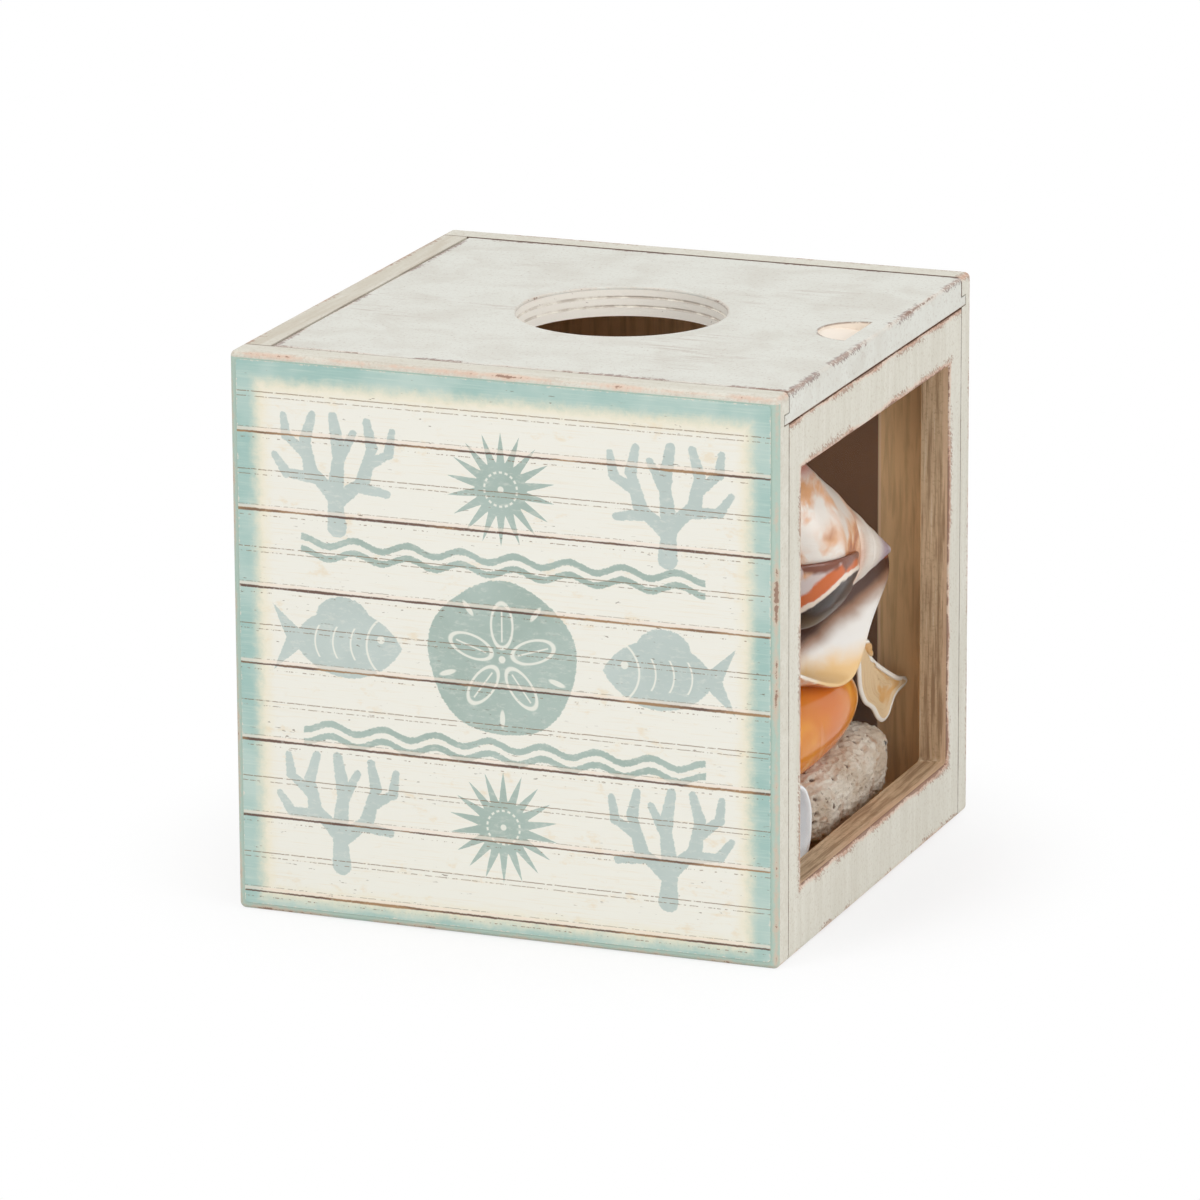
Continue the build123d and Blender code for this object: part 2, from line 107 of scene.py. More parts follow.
def vecCalc(operation, first, second=(0, 0, 0)):
    made = addNode(first.tree, "ShaderNodeVectorMath", {0: first, 1: second}, operation=operation)
    return Wire(made.outputs["Value" if operation in ("LENGTH", "DOT_PRODUCT", "DISTANCE") else "Vector"])


def split(position):
    made = addNode(position.tree, "ShaderNodeSeparateXYZ", {0: position})
    return [Wire(socket) for socket in made.outputs]


def joined(x, y=0.0, z=0.0):
    return Wire(addNode(x.tree, "ShaderNodeCombineXYZ", {0: x, 1: y, 2: z}).outputs[0])


def fade(value, low, high, start=0.0, end=1.0):
    # smooth step from start, at low, to end, at high
    inputs = {"Value": value, "From Min": low, "From Max": high, "To Min": start, "To Max": end}
    return Wire(addNode(value.tree, "ShaderNodeMapRange", inputs, interpolation_type="SMOOTHSTEP").outputs[0])


def noise(position, scale, detail=3.0, rough=0.5, warp=0.0):
    # a scale of three numbers stretches it along the axes
    if isinstance(scale, tuple):
        position, scale = vecCalc("MULTIPLY", position, scale), 1.0
    inputs = {"Vector": position, "Scale": scale, "Detail": detail, "Roughness": rough, "Distortion": warp}
    return wires(addNode(position.tree, "ShaderNodeTexNoise", inputs))["Fac"]


def asLinear(red, green, blue):
    # a screen colour, 0 to 255, as the light that a shader takes
    shares = [channel / 255 for channel in (red, green, blue)]
    return tuple(s / 12.92 if s <= 0.04045 else ((s + 0.055) / 1.055) ** 2.4 for s in shares) + (1.0,)


def mixColour(share, first, second):
    # colours come as wires or as screen colours
    made = addNode(share.tree, "ShaderNodeMix", {0: share}, data_type="RGBA", clamp_factor=True)
    for index, colour in ((6, first), (7, second)):
        feed(made.inputs[index], colour if isinstance(colour, Wire) else asLinear(*colour))
    return Wire(made.outputs[2])


def layered(colour, *layers):
    # each layer is a share and the colour that it brings over the ones before
    for share, over in layers:
        colour = mixColour(share, colour, over)
    return colour


def newGroup(name, outputs, **inputs):
    group = bpy.data.node_groups.new(name, "ShaderNodeTree")
    for label, kind in inputs.items():
        group.interface.new_socket(name=label, in_out="INPUT", socket_type="NodeSocket" + kind)
    for label in outputs:
        group.interface.new_socket(name=label, in_out="OUTPUT", socket_type="NodeSocketFloat")
    return group, wires(group.nodes.new("NodeGroupInput"))


def endGroup(group, **results):
    out = group.nodes.new("NodeGroupOutput")
    for label, value in results.items():
        feed(out.inputs[label], value)


def useGroup(group, **inputs):
    return wires(addNode(treeOf(inputs.values()), "ShaderNodeGroup", inputs, node_tree=group))


def newMaterial(name, rough=0.7, **plain):
    made = bpy.data.materials.new(name)
    made.use_nodes = True
    shader = made.node_tree.nodes["Principled BSDF"]
    shader.inputs["Roughness"].default_value = rough
    for label, value in plain.items():
        shader.inputs[label.replace("_", " ")].default_value = value
    return made, shader, wires(made.node_tree.nodes.new("ShaderNodeTexCoord"))["Object"]


def finishMaterial(shader, colour, height, depth=0.0001, strength=0.6):
    feed(shader.inputs["Base Color"], colour)
    inputs = {"Height": height, "Distance": depth, "Strength": strength}
    feed(shader.inputs["Normal"], wires(addNode(shader.id_data, "ShaderNodeBump", inputs))["Normal"])


def setSurface(made, share, shader, other):
    # a mix of two shaders as the material's surface
    inputs = {0: share, 1: Wire(shader.outputs[0]), 2: Wire(other.outputs[0])}
    mixed = addNode(made.node_tree, "ShaderNodeMixShader", inputs)
    feed(made.node_tree.nodes["Material Output"].inputs["Surface"], Wire(mixed.outputs[0]))


def dress(node, material):
    mesh = cadNode[node].data
    mesh.materials.clear()
    mesh.materials.append(material)


# Board grain: long fine streaks, and broader bands of colour, from a stretched position
grainGroup, given = newGroup("boardGrain", ("Fine", "Broad", "Pores"), Position="Vector", Stretch="Vector")
stretched = vecCalc("MULTIPLY", given["Position"], given["Stretch"])
poreNoise = noise(vecCalc("MULTIPLY", stretched, (1.5, 1.5, 1.5)), 1.6, 2.0, 0.6)
endGroup(grainGroup, Fine=noise(stretched, 1.0, 4.0, 0.6, 0.4),
         Broad=noise(stretched, (0.3, 0.3, 0.3), 3.0, 0.5, 1.0), Pores=fade(poreNoise, 0.64, 0.74))

# Wear along an arris: where the distance to it is small, ragged at two scales
wearGroup, given = newGroup("arrisWear", ("Mask", "Halo"), Position="Vector", Distance="Float", Width="Float",
                            Stretch="Vector")
coarse = noise(given["Position"], 90.0, 2.0, 0.5)
ragged = noise(vecCalc("MULTIPLY", given["Position"], given["Stretch"]), 1.0, 3.0, 0.7)
reach = given["Distance"] / given["Width"] + scaled(coarse, 3.6, -1.5) + scaled(ragged, 2.4, -1.2)
endGroup(wearGroup, Mask=fade(reach, 0.45, 0.75, 1.0, 0.0), Halo=fade(reach, 0.4, 2.2, 1.0, 0.0))

caseSize = {
    "half": 0.0635,
    "height": 0.127,
    "seam": 0.0567,  # where the side boards meet the front and back boards
    "insideX": 0.0568,
    "insideY": 0.0603,
    "low": 0.003,
    "lidUnder": 0.1203,
    "frameTop": 0.1198,
    "lidLeft": 0.0563,
    "lidSide": 0.05635,
}

# Distance from a point on the case's outside to the nearest outer arris
arrisGroup, given = newGroup("caseArris", ("Distance",), Position="Vector")
x, y, z = split(given["Position"])
sideX = caseSize["half"] - abs(x)
sideY = caseSize["half"] - abs(y)
sideZ = least(z, caseSize["height"] - z)
endGroup(arrisGroup, Distance=most(least(sideX, sideY), least(most(sideX, sideY), sideZ)))

# A thin ragged line where a coordinate passes a value
seamGroup, given = newGroup("seamLine", ("Mask",), Position="Vector", Value="Float", Centre="Float",
                            Width="Float")
offset = abs(given["Value"] - given["Centre"])
broken = noise(given["Position"], 260.0, 2.0, 0.6)
endGroup(seamGroup, Mask=offset < given["Width"] * scaled(broken, 2.0, 0.2))

# Worn places along an arris: short slanting strokes, in patches, within a few millimetres of it
strokeGroup, given = newGroup("wornStrokes", ("Mask",), Position="Vector", Distance="Float", Reach="Float")
turned = {"Vector": given["Position"], "Axis": (1.0, 0.35, 0.0), "Angle": 0.7}
slant = wires(addNode(strokeGroup, "ShaderNodeVectorRotate", turned))["Vector"]
strokes = noise(slant, (800, 800, 2400), 3.0, 0.65)
patches = fade(noise(given["Position"], 75.0, 2.0, 0.5), 0.4, 0.57)
strength = patches * fade(given["Distance"] / given["Reach"], 0.1, 1.0, 1.0, 0.0)
endGroup(strokeGroup, Mask=fade(strokes + strength * 0.3, 0.66, 0.78))
print("made the shared effects")

boardLook = {
    "paint": (216, 213, 201),
    "paintThin": (209, 205, 192),
    "brush": (224, 221, 211),
    "weave": (190, 180, 162),
    "wearBrown": (132, 98, 80),
    "wearPink": (218, 176, 152),
    "seam": (104, 78, 64),
    "bare": (132, 92, 60),
    "bareDark": (104, 68, 42),
    "barePores": (84, 54, 36),
    "bareStreak": (134, 96, 64),
    "reveal": (204, 176, 142),
    "revealDark": (158, 128, 98),
    "revealPale": (220, 204, 178),
    "revealPink": (228, 196, 164),
    "rubbed": (164, 134, 116),
    "strokeReach": 0.0035,
    "overlap": (166, 190, 178),
    "overlapFrom": 0.0621,
    "overlapTop": 0.1256,
    # painted light on the inside: paler wood for a painted reflection strip from this x on, a bright painted
    # reflection line at its edge, and painted light under the hole
    "paintedLightWood": (240, 198, 146),
    "reflectionStripFrom": (0.0434, 0.0439),
    "reflectionLine": (246, 212, 176),
    "reflectionLineAt": 0.0438,
    "wornShare": 0.85,
    "wearWidth": 0.00074,
    "seamWidth": 0.00016,
}
windowCut = {
    "halfWidth": 0.049,
    "middle": 0.06175,
    "halfHeight": 0.04675,
    "front": 0.06305,
    "back": 0.05675,
    "near": 0.0004,
}


def bareWood(grain):
    # brown wood of the inside, from its grain
    colour = mixColour(grain["Broad"], boardLook["bareDark"], boardLook["bare"])
    colour = mixColour(grain["Pores"] * 0.3, colour, boardLook["barePores"])
    return mixColour(grain["Fine"] * 0.35, colour, boardLook["bareStreak"])


def insideCase(x, y, z):
    # 1 on the faces that look into the case, 0 on its outside
    inX = abs(x) < caseSize["insideX"]
    inY = abs(y) < caseSize["insideY"]
    return inX * inY * ((z > caseSize["low"]) * (z < caseSize["lidUnder"]))


def whitewash(name, stretch, seam=True, window=False, front=False, look=boardLook):
    made, shader, place = newMaterial(name, 0.72, IOR=1.45)
    grain = useGroup(grainGroup, Position=place, Stretch=stretch)
    distance = useGroup(arrisGroup, Position=place)["Distance"]
    x, y, z = split(place)
    inside = insideCase(x, y, z)
    if window:
        # the window's own arris, 1.2 mm round at its corners
        across = abs(y) - windowCut["halfWidth"]
        upward = abs(z - windowCut["middle"]) - windowCut["halfHeight"]
        rim = most(across, upward)
        distance = least(distance, abs(rim))
        distance = least(distance, abs(z - caseSize["frameTop"]) * 1.3)
    wear = useGroup(wearGroup, Position=place, Distance=distance, Width=look["wearWidth"],
                    Stretch=(760, 760, 760))
    colour = mixColour(fade(grain["Broad"], 0.35, 0.7), look["paintThin"], look["paint"])
    colour = mixColour(fade(grain["Fine"], 0.45, 0.75, 0.0, 0.5), colour, look["brush"])
    weave = noise(place, 1500.0, 3.0, 0.7)
    colour = mixColour(fade(weave, 0.5, 0.72, 0.0, 0.6), colour, look["weave"])
    colour = mixColour(grain["Pores"] * 0.1, colour, look["wearBrown"])
    worn = useGroup(strokeGroup, Position=place, Distance=distance, Reach=look["strokeReach"])["Mask"]
    colour = mixColour(worn * (look["wornShare"] * (0.2 if front else 1.0)), colour, look["rubbed"])
    if front:
        # the print's paint runs over the front arris, except at the top
        over = (y < -look["overlapFrom"]) * (z < look["overlapTop"])
        colour = mixColour(over * 0.9, colour, look["overlap"])
    colour = mixColour(wear["Halo"] * 0.6, colour, look["wearPink"])
    colour = mixColour(wear["Mask"] * 0.8, colour, look["wearBrown"])
    if seam:
        line = useGroup(seamGroup, Position=place, Value=abs(y), Centre=caseSize["seam"],
                        Width=look["seamWidth"])["Mask"]
        colour = mixColour(line * 0.9, colour, look["seam"])
    if window:
        # the window's edge: thin paint rubbed along the wood, up the stiles and along the sill and the rail
        upStile = noise(place, (1100, 1100, 50), 4.0, 0.65)
        alongSill = noise(place, (1100, 50, 1100), 4.0, 0.65)
        onStile = across > upward
        streak = upStile * onStile + alongSill * (1.0 - onStile)
        edge = mixColour(fade(streak, 0.36, 0.56), look["revealDark"], look["reveal"])
        edge = layered(
            edge,
            (fade(streak, 0.56, 0.7, 0.0, 0.7), look["revealPale"]),
            (fade(weave, 0.5, 0.7, 0.0, 0.5), look["revealDark"]),
            (fade(scaled(streak, 0.003, x), 0.0632, 0.0638, 0.0, 0.6), look["revealPink"]),
        )
        cut = (x < windowCut["front"]) * ((rim < windowCut["near"]) * (rim > -windowCut["near"]))
        colour = mixColour(cut, colour, edge)
        inside = x < windowCut["back"]
    wood = bareWood(grain)
    # painted light on the bare wood: a paler strip in the corner beside the pane, with a bright line at its
    # edge, is a painted reflection of the window's edge in the glass; the paler wood high up under the lid is
    # painted light from the hole
    reflectionStrip = fade(x, *look["reflectionStripFrom"])
    high = fade(x, 0.012, 0.03, 1.0, 0.0) * fade(z, 0.085, 0.108)
    pale = most(reflectionStrip, high) * fade(grain["Fine"], 0.3, 0.6, 0.7, 1.0)
    wood = mixColour(pale, wood, look["paintedLightWood"])
    # the bright line at the strip's edge is a painted reflection
    reflectionLine = fade(abs(x - look["reflectionLineAt"]), 0.0002, 0.0005, 0.6, 0.0)
    wood = mixColour(reflectionLine, wood, look["reflectionLine"])
    colour = mixColour(inside, colour, wood)
    height = grain["Fine"] * 0.3 + weave * 0.7 - wear["Mask"] * 0.6
    finishMaterial(shader, colour, height, depth=0.00008, strength=0.5)
    return made


dress("front_panel", whitewash("whitewashFront", (60, 700, 700), front=True))
dress("back_panel", whitewash("whitewashBack", (700, 700, 60)))
leftLook = {**boardLook, "paint": (210, 206, 193), "paintThin": (198, 190, 174)}
dress("left_panel", whitewash("whitewashLeft", (700, 60, 700), look=leftLook))
dress("window_frame", whitewash("whitewashFrame", (700, 700, 60), window=True))
dress("floor_panel", whitewash("floorWood", (60, 700, 700), seam=False))
print("painted the boards")

lidLook = {
    "paint": (217, 217, 209),
    "paintThin": (209, 207, 198),
    "streak": (176, 160, 148),
    "wearBrown": (128, 98, 82),
    # the hole's wall: the whitewash lifted as painted light against the shade inside the hole
    "hole": (252, 248, 238),
    "notch": (238, 227, 214),
    "holeCentre": 0.0034,
    "holeRadius": 0.0235,
    "plyLines": (0.12255, 0.12465),
    "notchX": 0.059,
    "notchRadius": 0.009,
    "rubbed": (134, 112, 106),
    "wearPink": (222, 190, 170),
}


def lidPaint(look):
    made, shader, place = newMaterial("whitewashLid", 0.7, IOR=1.45)
    grain = useGroup(grainGroup, Position=place, Stretch=(55, 800, 800))
    x, y, z = split(place)
    # distance to the lid's own edges and to the rim of its hole
    right = caseSize["half"] - x
    left = caseSize["lidLeft"] + x
    side = caseSize["lidSide"] - abs(y)
    edge = least(least(right, left), side)
    fromTop = caseSize["height"] - z
    centred = vecCalc("SUBTRACT", place, (look["holeCentre"], 0, 0))
    flat = vecCalc("MULTIPLY", centred, (1, 1, 0))
    rim = abs(vecCalc("LENGTH", flat) - look["holeRadius"])
    near = least(edge, rim * 1.6) + fromTop
    wear = useGroup(wearGroup, Position=place, Distance=near, Width=0.00055, Stretch=(760, 760, 760))
    worn = useGroup(strokeGroup, Position=place, Distance=edge + fromTop, Reach=0.0024)["Mask"]
    # the notch: a half disc, its straight side towards the lid's free end
    notchX = x - look["notchX"]
    notchSpot = joined(notchX, y)
    notchRim = vecCalc("LENGTH", notchSpot) - look["notchRadius"]
    inNotch = (most(notchRim, notchX) < 0.0002) * (fromTop > 0.0001)
    notchEdge = (notchX < 0.0001) * fade(abs(notchRim), 0.0001, 0.0006, 1.0, 0.0)
    notchEdge = notchEdge * fade(noise(place, 420.0, 3.0, 0.7), 0.38, 0.55)
    notchEdge = notchEdge * fade(fromTop, 0.0001, 0.0005, 1.0, 0.0)
    cloud = noise(place, 70.0, 3.0, 0.6, 0.5)
    colour = mixColour(fade(cloud, 0.34, 0.6), look["paintThin"], look["paint"])
    colour = mixColour(fade(grain["Broad"], 0.5, 0.7, 0.0, 0.3), colour, look["paintThin"])
    weave = noise(place, 1300.0, 3.0, 0.7)
    colour = mixColour(fade(weave, 0.52, 0.74, 0.0, 0.5), colour, look["streak"])
    patch = noise(place, (22, 60, 60), 3.0, 0.6, 0.8)
    scuffs = fade(patch, 0.52, 0.72) * fade(grain["Fine"], 0.5, 0.62)
    colour = mixColour(scuffs * 0.65, colour, look["streak"])
    # the hole's wall is painted lighter than the lid's top: painted light to offset the shade inside the hole
    inHole = (fromTop > 0.0006) * (rim < 0.0004)
    colour = mixColour(inHole, colour, look["hole"])
    for level in look["plyLines"]:
        ply = fade(abs(z - level), 0.0002, 0.0005, 0.5, 0.0)
        ply = ply * inHole * fade(noise(place, 240.0, 3.0, 0.7), 0.35, 0.6)
        colour = mixColour(ply, colour, look["streak"])
    colour = layered(
        colour,
        (worn * 0.8, look["rubbed"]),
        (wear["Halo"] * 0.25, look["wearPink"]),
        (wear["Mask"] * 0.75, look["wearBrown"]),
        (inNotch * 0.95, look["notch"]),
        (notchEdge * 0.7, look["wearBrown"]),
    )
    colour = mixColour(z < caseSize["lidUnder"], colour, bareWood(grain))
    height = cloud * 0.6 + weave * 0.6
    height = height - wear["Mask"] * 0.6
    finishMaterial(shader, colour, height, depth=0.0001, strength=0.5)
    return made


dress("lid", lidPaint(lidLook))
print("painted the lid")

printLook = {
    "field": (233, 231, 221),
    "fieldWarm": (232, 221, 190),
    "border": (156, 188, 181),
    "borderPale": (184, 204, 196),
    "stain": (226, 206, 172),
    "sage": (183, 195, 190),
    "sageDark": (160, 177, 168),
    "detail": (233, 232, 221),
    "sagePale": (190, 201, 196),
    "sageDarkPale": (170, 186, 178),
    "borderStreak": (214, 224, 210),
    "speck": (110, 92, 74),
    "tornEdge": (232, 218, 203),
    "slat": (92, 62, 50),
    "slatOchre": (158, 122, 84),
    "slatGlow": (238, 220, 204),
    "slatFaint": (128, 100, 72),
    "halfSide": 61.8,
    "borderWidth": 3.9,
    "thinAtFoot": 2.6,
    "slatFirst": 4.6,
    "slatPitch": 17.45,
    "slatMiddle": 8.5,
    "middleHeight": 63.5,
}

# Distance to a tapering twig from start to end, in millimetres
twigGroup, given = newGroup("twigDistance", ("Distance",), Position="Vector", Start="Vector", End="Vector",
                            Radius="Float")
along = vecCalc("SUBTRACT", given["End"], given["Start"])
away = vecCalc("SUBTRACT", given["Position"], given["Start"])
share = vecCalc("DOT_PRODUCT", away, along) / vecCalc("DOT_PRODUCT", along, along)
share = Wire(addNode(twigGroup, "ShaderNodeClamp", {"Value": share}).outputs[0])
foot = Wire(addNode(twigGroup, "ShaderNodeVectorMath", {0: along, "Scale": share},
                    operation="SCALE").outputs[0])
gap = vecCalc("LENGTH", vecCalc("SUBTRACT", away, foot))
endGroup(twigGroup, Distance=gap - given["Radius"] * scaled(share, -0.35, 1.0))


def ovalDistance(x, z, centreX, centreZ, halfX, halfZ):
    spot = joined((x - centreX) / halfX, z=(z - centreZ) / halfZ)
    return (vecCalc("LENGTH", spot) - 1.0) * min(halfX, halfZ)


def nearest(distances):
    closest = distances[0]
    for distance in distances[1:]:
        closest = least(closest, distance)
    return closest


def inked(distance, soft=0.12):
    return fade(distance, -soft, soft, 1.0, 0.0)


def foldedTurn(x, z, count):
    # angle from the nearest of count spokes, and the distance from the middle
    turn = calc("ARCTAN2", x, z) * (count / (2 * pi))
    folded = abs(calc("FRACT", turn + 0.5) - 0.5)
    return folded * (2 * pi / count), vecCalc("LENGTH", joined(x, z=z))


def sandDollar(x, z, radius=17.3, petals=5):
    angle, reach = foldedTurn(x, z, petals)
    sideways = reach * calc("SINE", angle)
    outward = reach * calc("COSINE", angle)
    petal = abs(ovalDistance(sideways, outward, 0.0, 7.6, 2.5, 5.0))
    vein = most(sideways - 0.18, ovalDistance(sideways, outward, 0.0, 7.6, 2.5, 3.7))
    between = pi / petals - angle
    slotX = reach * calc("SINE", between)
    slotZ = reach * calc("COSINE", between)
    slot = ovalDistance(slotX, slotZ, 0.0, 13.4, 0.6, 2.0)
    heart = reach - 0.8
    rim = scaled(calc("COSINE", angle * petals), 0.35, radius)
    detail = nearest([petal - 0.26, vein, slot, heart])
    return reach - rim, detail


def fish(x, z, centre=36.4, halfLength=13.0, halfHeight=7.8):
    # both fish at once: they face each other across the middle
    x = abs(x) - centre
    bow = (halfLength ** 2 + halfHeight ** 2) / (2 * halfHeight)
    upper = ovalDistance(x, z, 0.0, halfHeight - bow, bow, bow)
    lower = ovalDistance(x, z, 0.0, bow - halfHeight, bow, bow)
    body = most(upper, lower)
    height = abs(z)
    tailSide = height - scaled(x, 0.85, -7.4)
    tailEnd = x - scaled(height, 0.42, 14.4)
    tail = most(most(tailSide, tailEnd), 9.0 - x)
    fin = most(ovalDistance(x, z, 1.0, 5.8, 6.2, 4.6), 2.0 - z)
    eye = ovalDistance(x, z, -8.0, 1.6, 0.9, 0.9)
    gill = abs(ovalDistance(x, z, -12.2, 0.0, 7.6, 7.6))
    stripes = [abs(ovalDistance(x, z, spot, 0.0, 6.6, 6.6)) for spot in (-7.4, -3.2, 1.0)]
    stripes = most(nearest(stripes) - 0.2, height - 3.6)
    stripes = most(stripes, -2.0 - x)
    gill = most(gill - 0.24, -10.0 - x)
    return nearest([body, tail, fin]), nearest([eye, gill, stripes])


def coralSprigs(x, z, centre=38.4, size=1.12):
    # an upright sprig in each corner, from one drawn about its own middle
    upright = z - calc("SIGN", z) * centre
    spot = joined(abs(x) - centre, z=upright)
    twigs = (
        ((0, -11), (0.3, -4), 2.3), ((0.3, -4), (-0.6, 4), 2.0), ((-0.6, 4), (0.6, 11), 1.7),
        ((0.2, -6), (-5.5, -1.5), 1.9), ((-5.5, -1.5), (-7.5, 5.5), 1.7), ((-7.5, 5.5), (-6.5, 10.5), 1.4),
        ((-6.6, 2), (-11, 4.5), 1.4), ((-11, 4.5), (-11.8, 9), 1.2), ((-4.5, -2.5), (-10.5, -3.5), 1.4),
        ((-0.4, 2), (-3.6, 8), 1.3), ((0.3, -5), (5.5, 0), 1.9), ((5.5, 0), (6.5, 6), 1.7),
        ((6.5, 6), (5, 11), 1.4), ((6.2, 3), (10.5, 6.5), 1.4), ((10.5, 6.5), (11, 10.5), 1.2),
        ((4, -1.5), (10.5, -1), 1.5), ((10.5, -1), (13, 2.5), 1.2),
    )
    ends = [useGroup(twigGroup, Position=spot, Start=(a[0] * size, 0, a[1] * size),
                     End=(b[0] * size, 0, b[1] * size), Radius=r)["Distance"] for a, b, r in twigs]
    return nearest(ends)


def urchins(x, z, centre=38.0, body=6.0, spike=12.6, spikes=18):
    z = abs(z) - centre
    angle, reach = foldedTurn(x, z, spikes)
    share = angle * (spikes / pi)
    tip = (1.0 - share) ** 1.7
    edge = scaled(tip, spike - body, body)
    ring = abs(reach - 3.8) - 0.24
    beads = most(ring, share - 0.55)
    return reach - edge, nearest([beads, reach - 0.7])


def waveBands(x, z, heights=(19.6, 22.4), swing=0.9, length=12.5, halfThick=0.75, reach=47.0):
    swell = calc("SINE", x * (2 * pi / length)) * swing
    upright = abs(z) - swell
    bands = [abs(upright - height) for height in heights]
    return most(nearest(bands) - halfThick, abs(x) - reach)


def slatLine(z, jitter, first, pitch, thickness):
    # distance to the nearest of the lines drawn at a pitch, less their thickness
    steps = (z + jitter - first) / pitch
    apart = abs(steps - calc("ROUND", steps))
    return apart * pitch - thickness


def printedPaper(look):
    made, shader, place = newMaterial("printedPaper", 0.62, IOR=1.45)
    spot = vecCalc("MULTIPLY", place, (1000, 1000, 1000))
    x, _, height = split(spot)
    z = height - look["middleHeight"]

    # cream field: faint streaks along the slats, warm stains
    streaks = noise(spot, (0.11, 1, 3.2), 4.0, 0.6)
    blotch = noise(spot, 0.05, 3.0, 0.6)
    colour = mixColour(fade(streaks, 0.5, 0.8, 0.0, 0.35), look["field"], look["stain"])
    small = noise(spot, (0.16, 1, 0.3), 4.0, 0.65)
    colour = mixColour(fade(small, 0.58, 0.74, 0.0, 0.5), colour, look["stain"])

    # the motifs, in two shades, with pale lines drawn in them
    dollar, dollarDetail = sandDollar(x, z)
    fishes, fishDetail = fish(x, z)
    urchin, urchinDetail = urchins(x, z)
    coral = coralSprigs(x, z)
    waves = waveBands(x, z)
    rough = scaled(noise(spot, 1.6, 2.0, 0.6), 0.7, -0.35)
    pale = nearest([coral, fishes]) + rough
    dark = nearest([dollar, urchin, waves]) + rough
    worn = fade(noise(spot, (0.5, 1, 1.4), 4.0, 0.7), 0.3, 0.5, 0.72, 1.0)
    mottle = fade(blotch, 0.35, 0.65)
    sage = mixColour(mottle, look["sage"], look["sagePale"])
    sageDark = mixColour(mottle, look["sageDark"], look["sageDarkPale"])
    colour = mixColour(inked(pale) * worn, colour, sage)
    colour = mixColour(inked(dark) * worn, colour, sageDark)
    detail = nearest([dollarDetail, fishDetail, urchinDetail])
    colour = mixColour(inked(detail) * 0.85, colour, look["detail"])

    # border round the sheet, fading inwards through a warm edge
    edge = look["halfSide"] - most(abs(x), abs(z))
    foot = z + look["halfSide"] + look["thinAtFoot"]
    band = least(look["halfSide"] - most(abs(x), z), foot)
    inward = band + scaled(noise(spot, (0.5, 1, 0.5), 5.0, 0.7), 3.6, -1.8)
    warm = fade(inward, look["borderWidth"] + 0.4, look["borderWidth"] + 5.0, 0.65, 0.0)
    colour = mixColour(warm, colour, look["fieldWarm"])
    teal = mixColour(fade(blotch, 0.35, 0.68), look["border"], look["borderPale"])
    teal = mixColour(fade(streaks, 0.45, 0.75, 0.0, 0.3), teal, look["borderStreak"])
    painted = fade(inward, look["borderWidth"] - 1.6, look["borderWidth"] + 2.4, 1.0, 0.0)
    colour = mixColour(painted, colour, teal)

    # slat lines: a dark line with a pale one beside it, and faint pairs between
    jitter = scaled(noise(spot, (0.9, 1, 0.02), 3.0, 0.7), 0.34, -0.17)
    fill = noise(spot, (0.07, 1, 0.11), 2.0, 0.5)
    broken = noise(spot, (1.1, 1, 0.5), 3.0, 0.7)
    first, pitch = look["slatFirst"], look["slatPitch"]
    glow = slatLine(height, 0.0, first + 0.62, pitch, 0.36)
    colour = mixColour(inked(glow, 0.2) * 0.55, colour, look["slatGlow"])
    for offset, thickness, low, high in ((1.12, 0.05, 0.44, 0.52), (-1.25, 0.09, 0.52, 0.6),
                                         (look["slatMiddle"] + 0.55, 0.1, 0.36, 0.46),
                                         (look["slatMiddle"] - 0.55, 0.08, 0.44, 0.52)):
        thin = slatLine(height, jitter * 0.8, first + offset, pitch, thickness)
        thin = inked(thin, 0.09) * fade(broken, low, high, 0.0, 0.85)
        colour = mixColour(thin, colour, look["slatFaint"])
    bold = scaled(fill, -0.5, 0.12)
    line = slatLine(height, jitter, first, pitch, 0.12) + bold
    tone = noise(spot, (0.06, 1, 0.3), 3.0, 0.6)
    slat = mixColour(fade(tone, 0.46, 0.62), look["slat"], look["slatOchre"])
    colour = mixColour(inked(line, 0.12) * fade(broken, 0.22, 0.42, 0.45, 0.95), colour, slat)

    # specks and scratches along the slats
    specks = noise(spot, (0.42, 1, 2.1), 2.0, 0.5)
    where = noise(spot, (0.05, 1, 0.12), 2.0, 0.5)
    mark = fade(specks, 0.71, 0.74) * fade(where, 0.42, 0.58)
    colour = mixColour(mark * 0.75, colour, look["speck"])

    # torn edge of the sheet
    tear = scaled(noise(spot, 0.9, 4.0, 0.75), 2.2, -0.95)
    bareEdge = fade(edge + tear, -0.1, 0.3, 0.7, 0.0)
    colour = mixColour(bareEdge, colour, look["tornEdge"])
    finishMaterial(shader, colour, streaks, depth=0.00004, strength=0.4)
    return made


dress("front_print", printedPaper(printLook))
print("printed the front")

paneLook = {
    "tint": (0.985, 0.99, 0.985, 1.0),
    "rough": 0.0,
    "ior": 1.02,
}


def paneGlass(look):
    made, shader, _ = newMaterial("clearPane", look["rough"], IOR=look["ior"],
                                  Base_Color=look["tint"], Transmission_Weight=1.0)
    # daylight passes through the pane into the case
    path = wires(addNode(made.node_tree, "ShaderNodeLightPath"))
    clear = addNode(made.node_tree, "ShaderNodeBsdfTransparent")
    setSurface(made, most(path["Is Shadow Ray"], path["Is Diffuse Ray"]), shader, clear)
    return made


dress("window_pane", paneGlass(paneLook))

bradLook = {"dull": (128, 120, 110), "bright": (176, 170, 160)}


def bradSteel(look):
    made, shader, place = newMaterial("bradSteel", 0.42, Metallic=0.9)
    tarnish = noise(place, 1800.0, 3.0, 0.6)
    finishMaterial(shader, mixColour(tarnish, look["dull"], look["bright"]), tarnish, depth=0.00003)
    return made


steel = bradSteel(bradLook)
dress("front_brads", steel)
dress("back_brads", steel)
print("finished the pane and the brads")


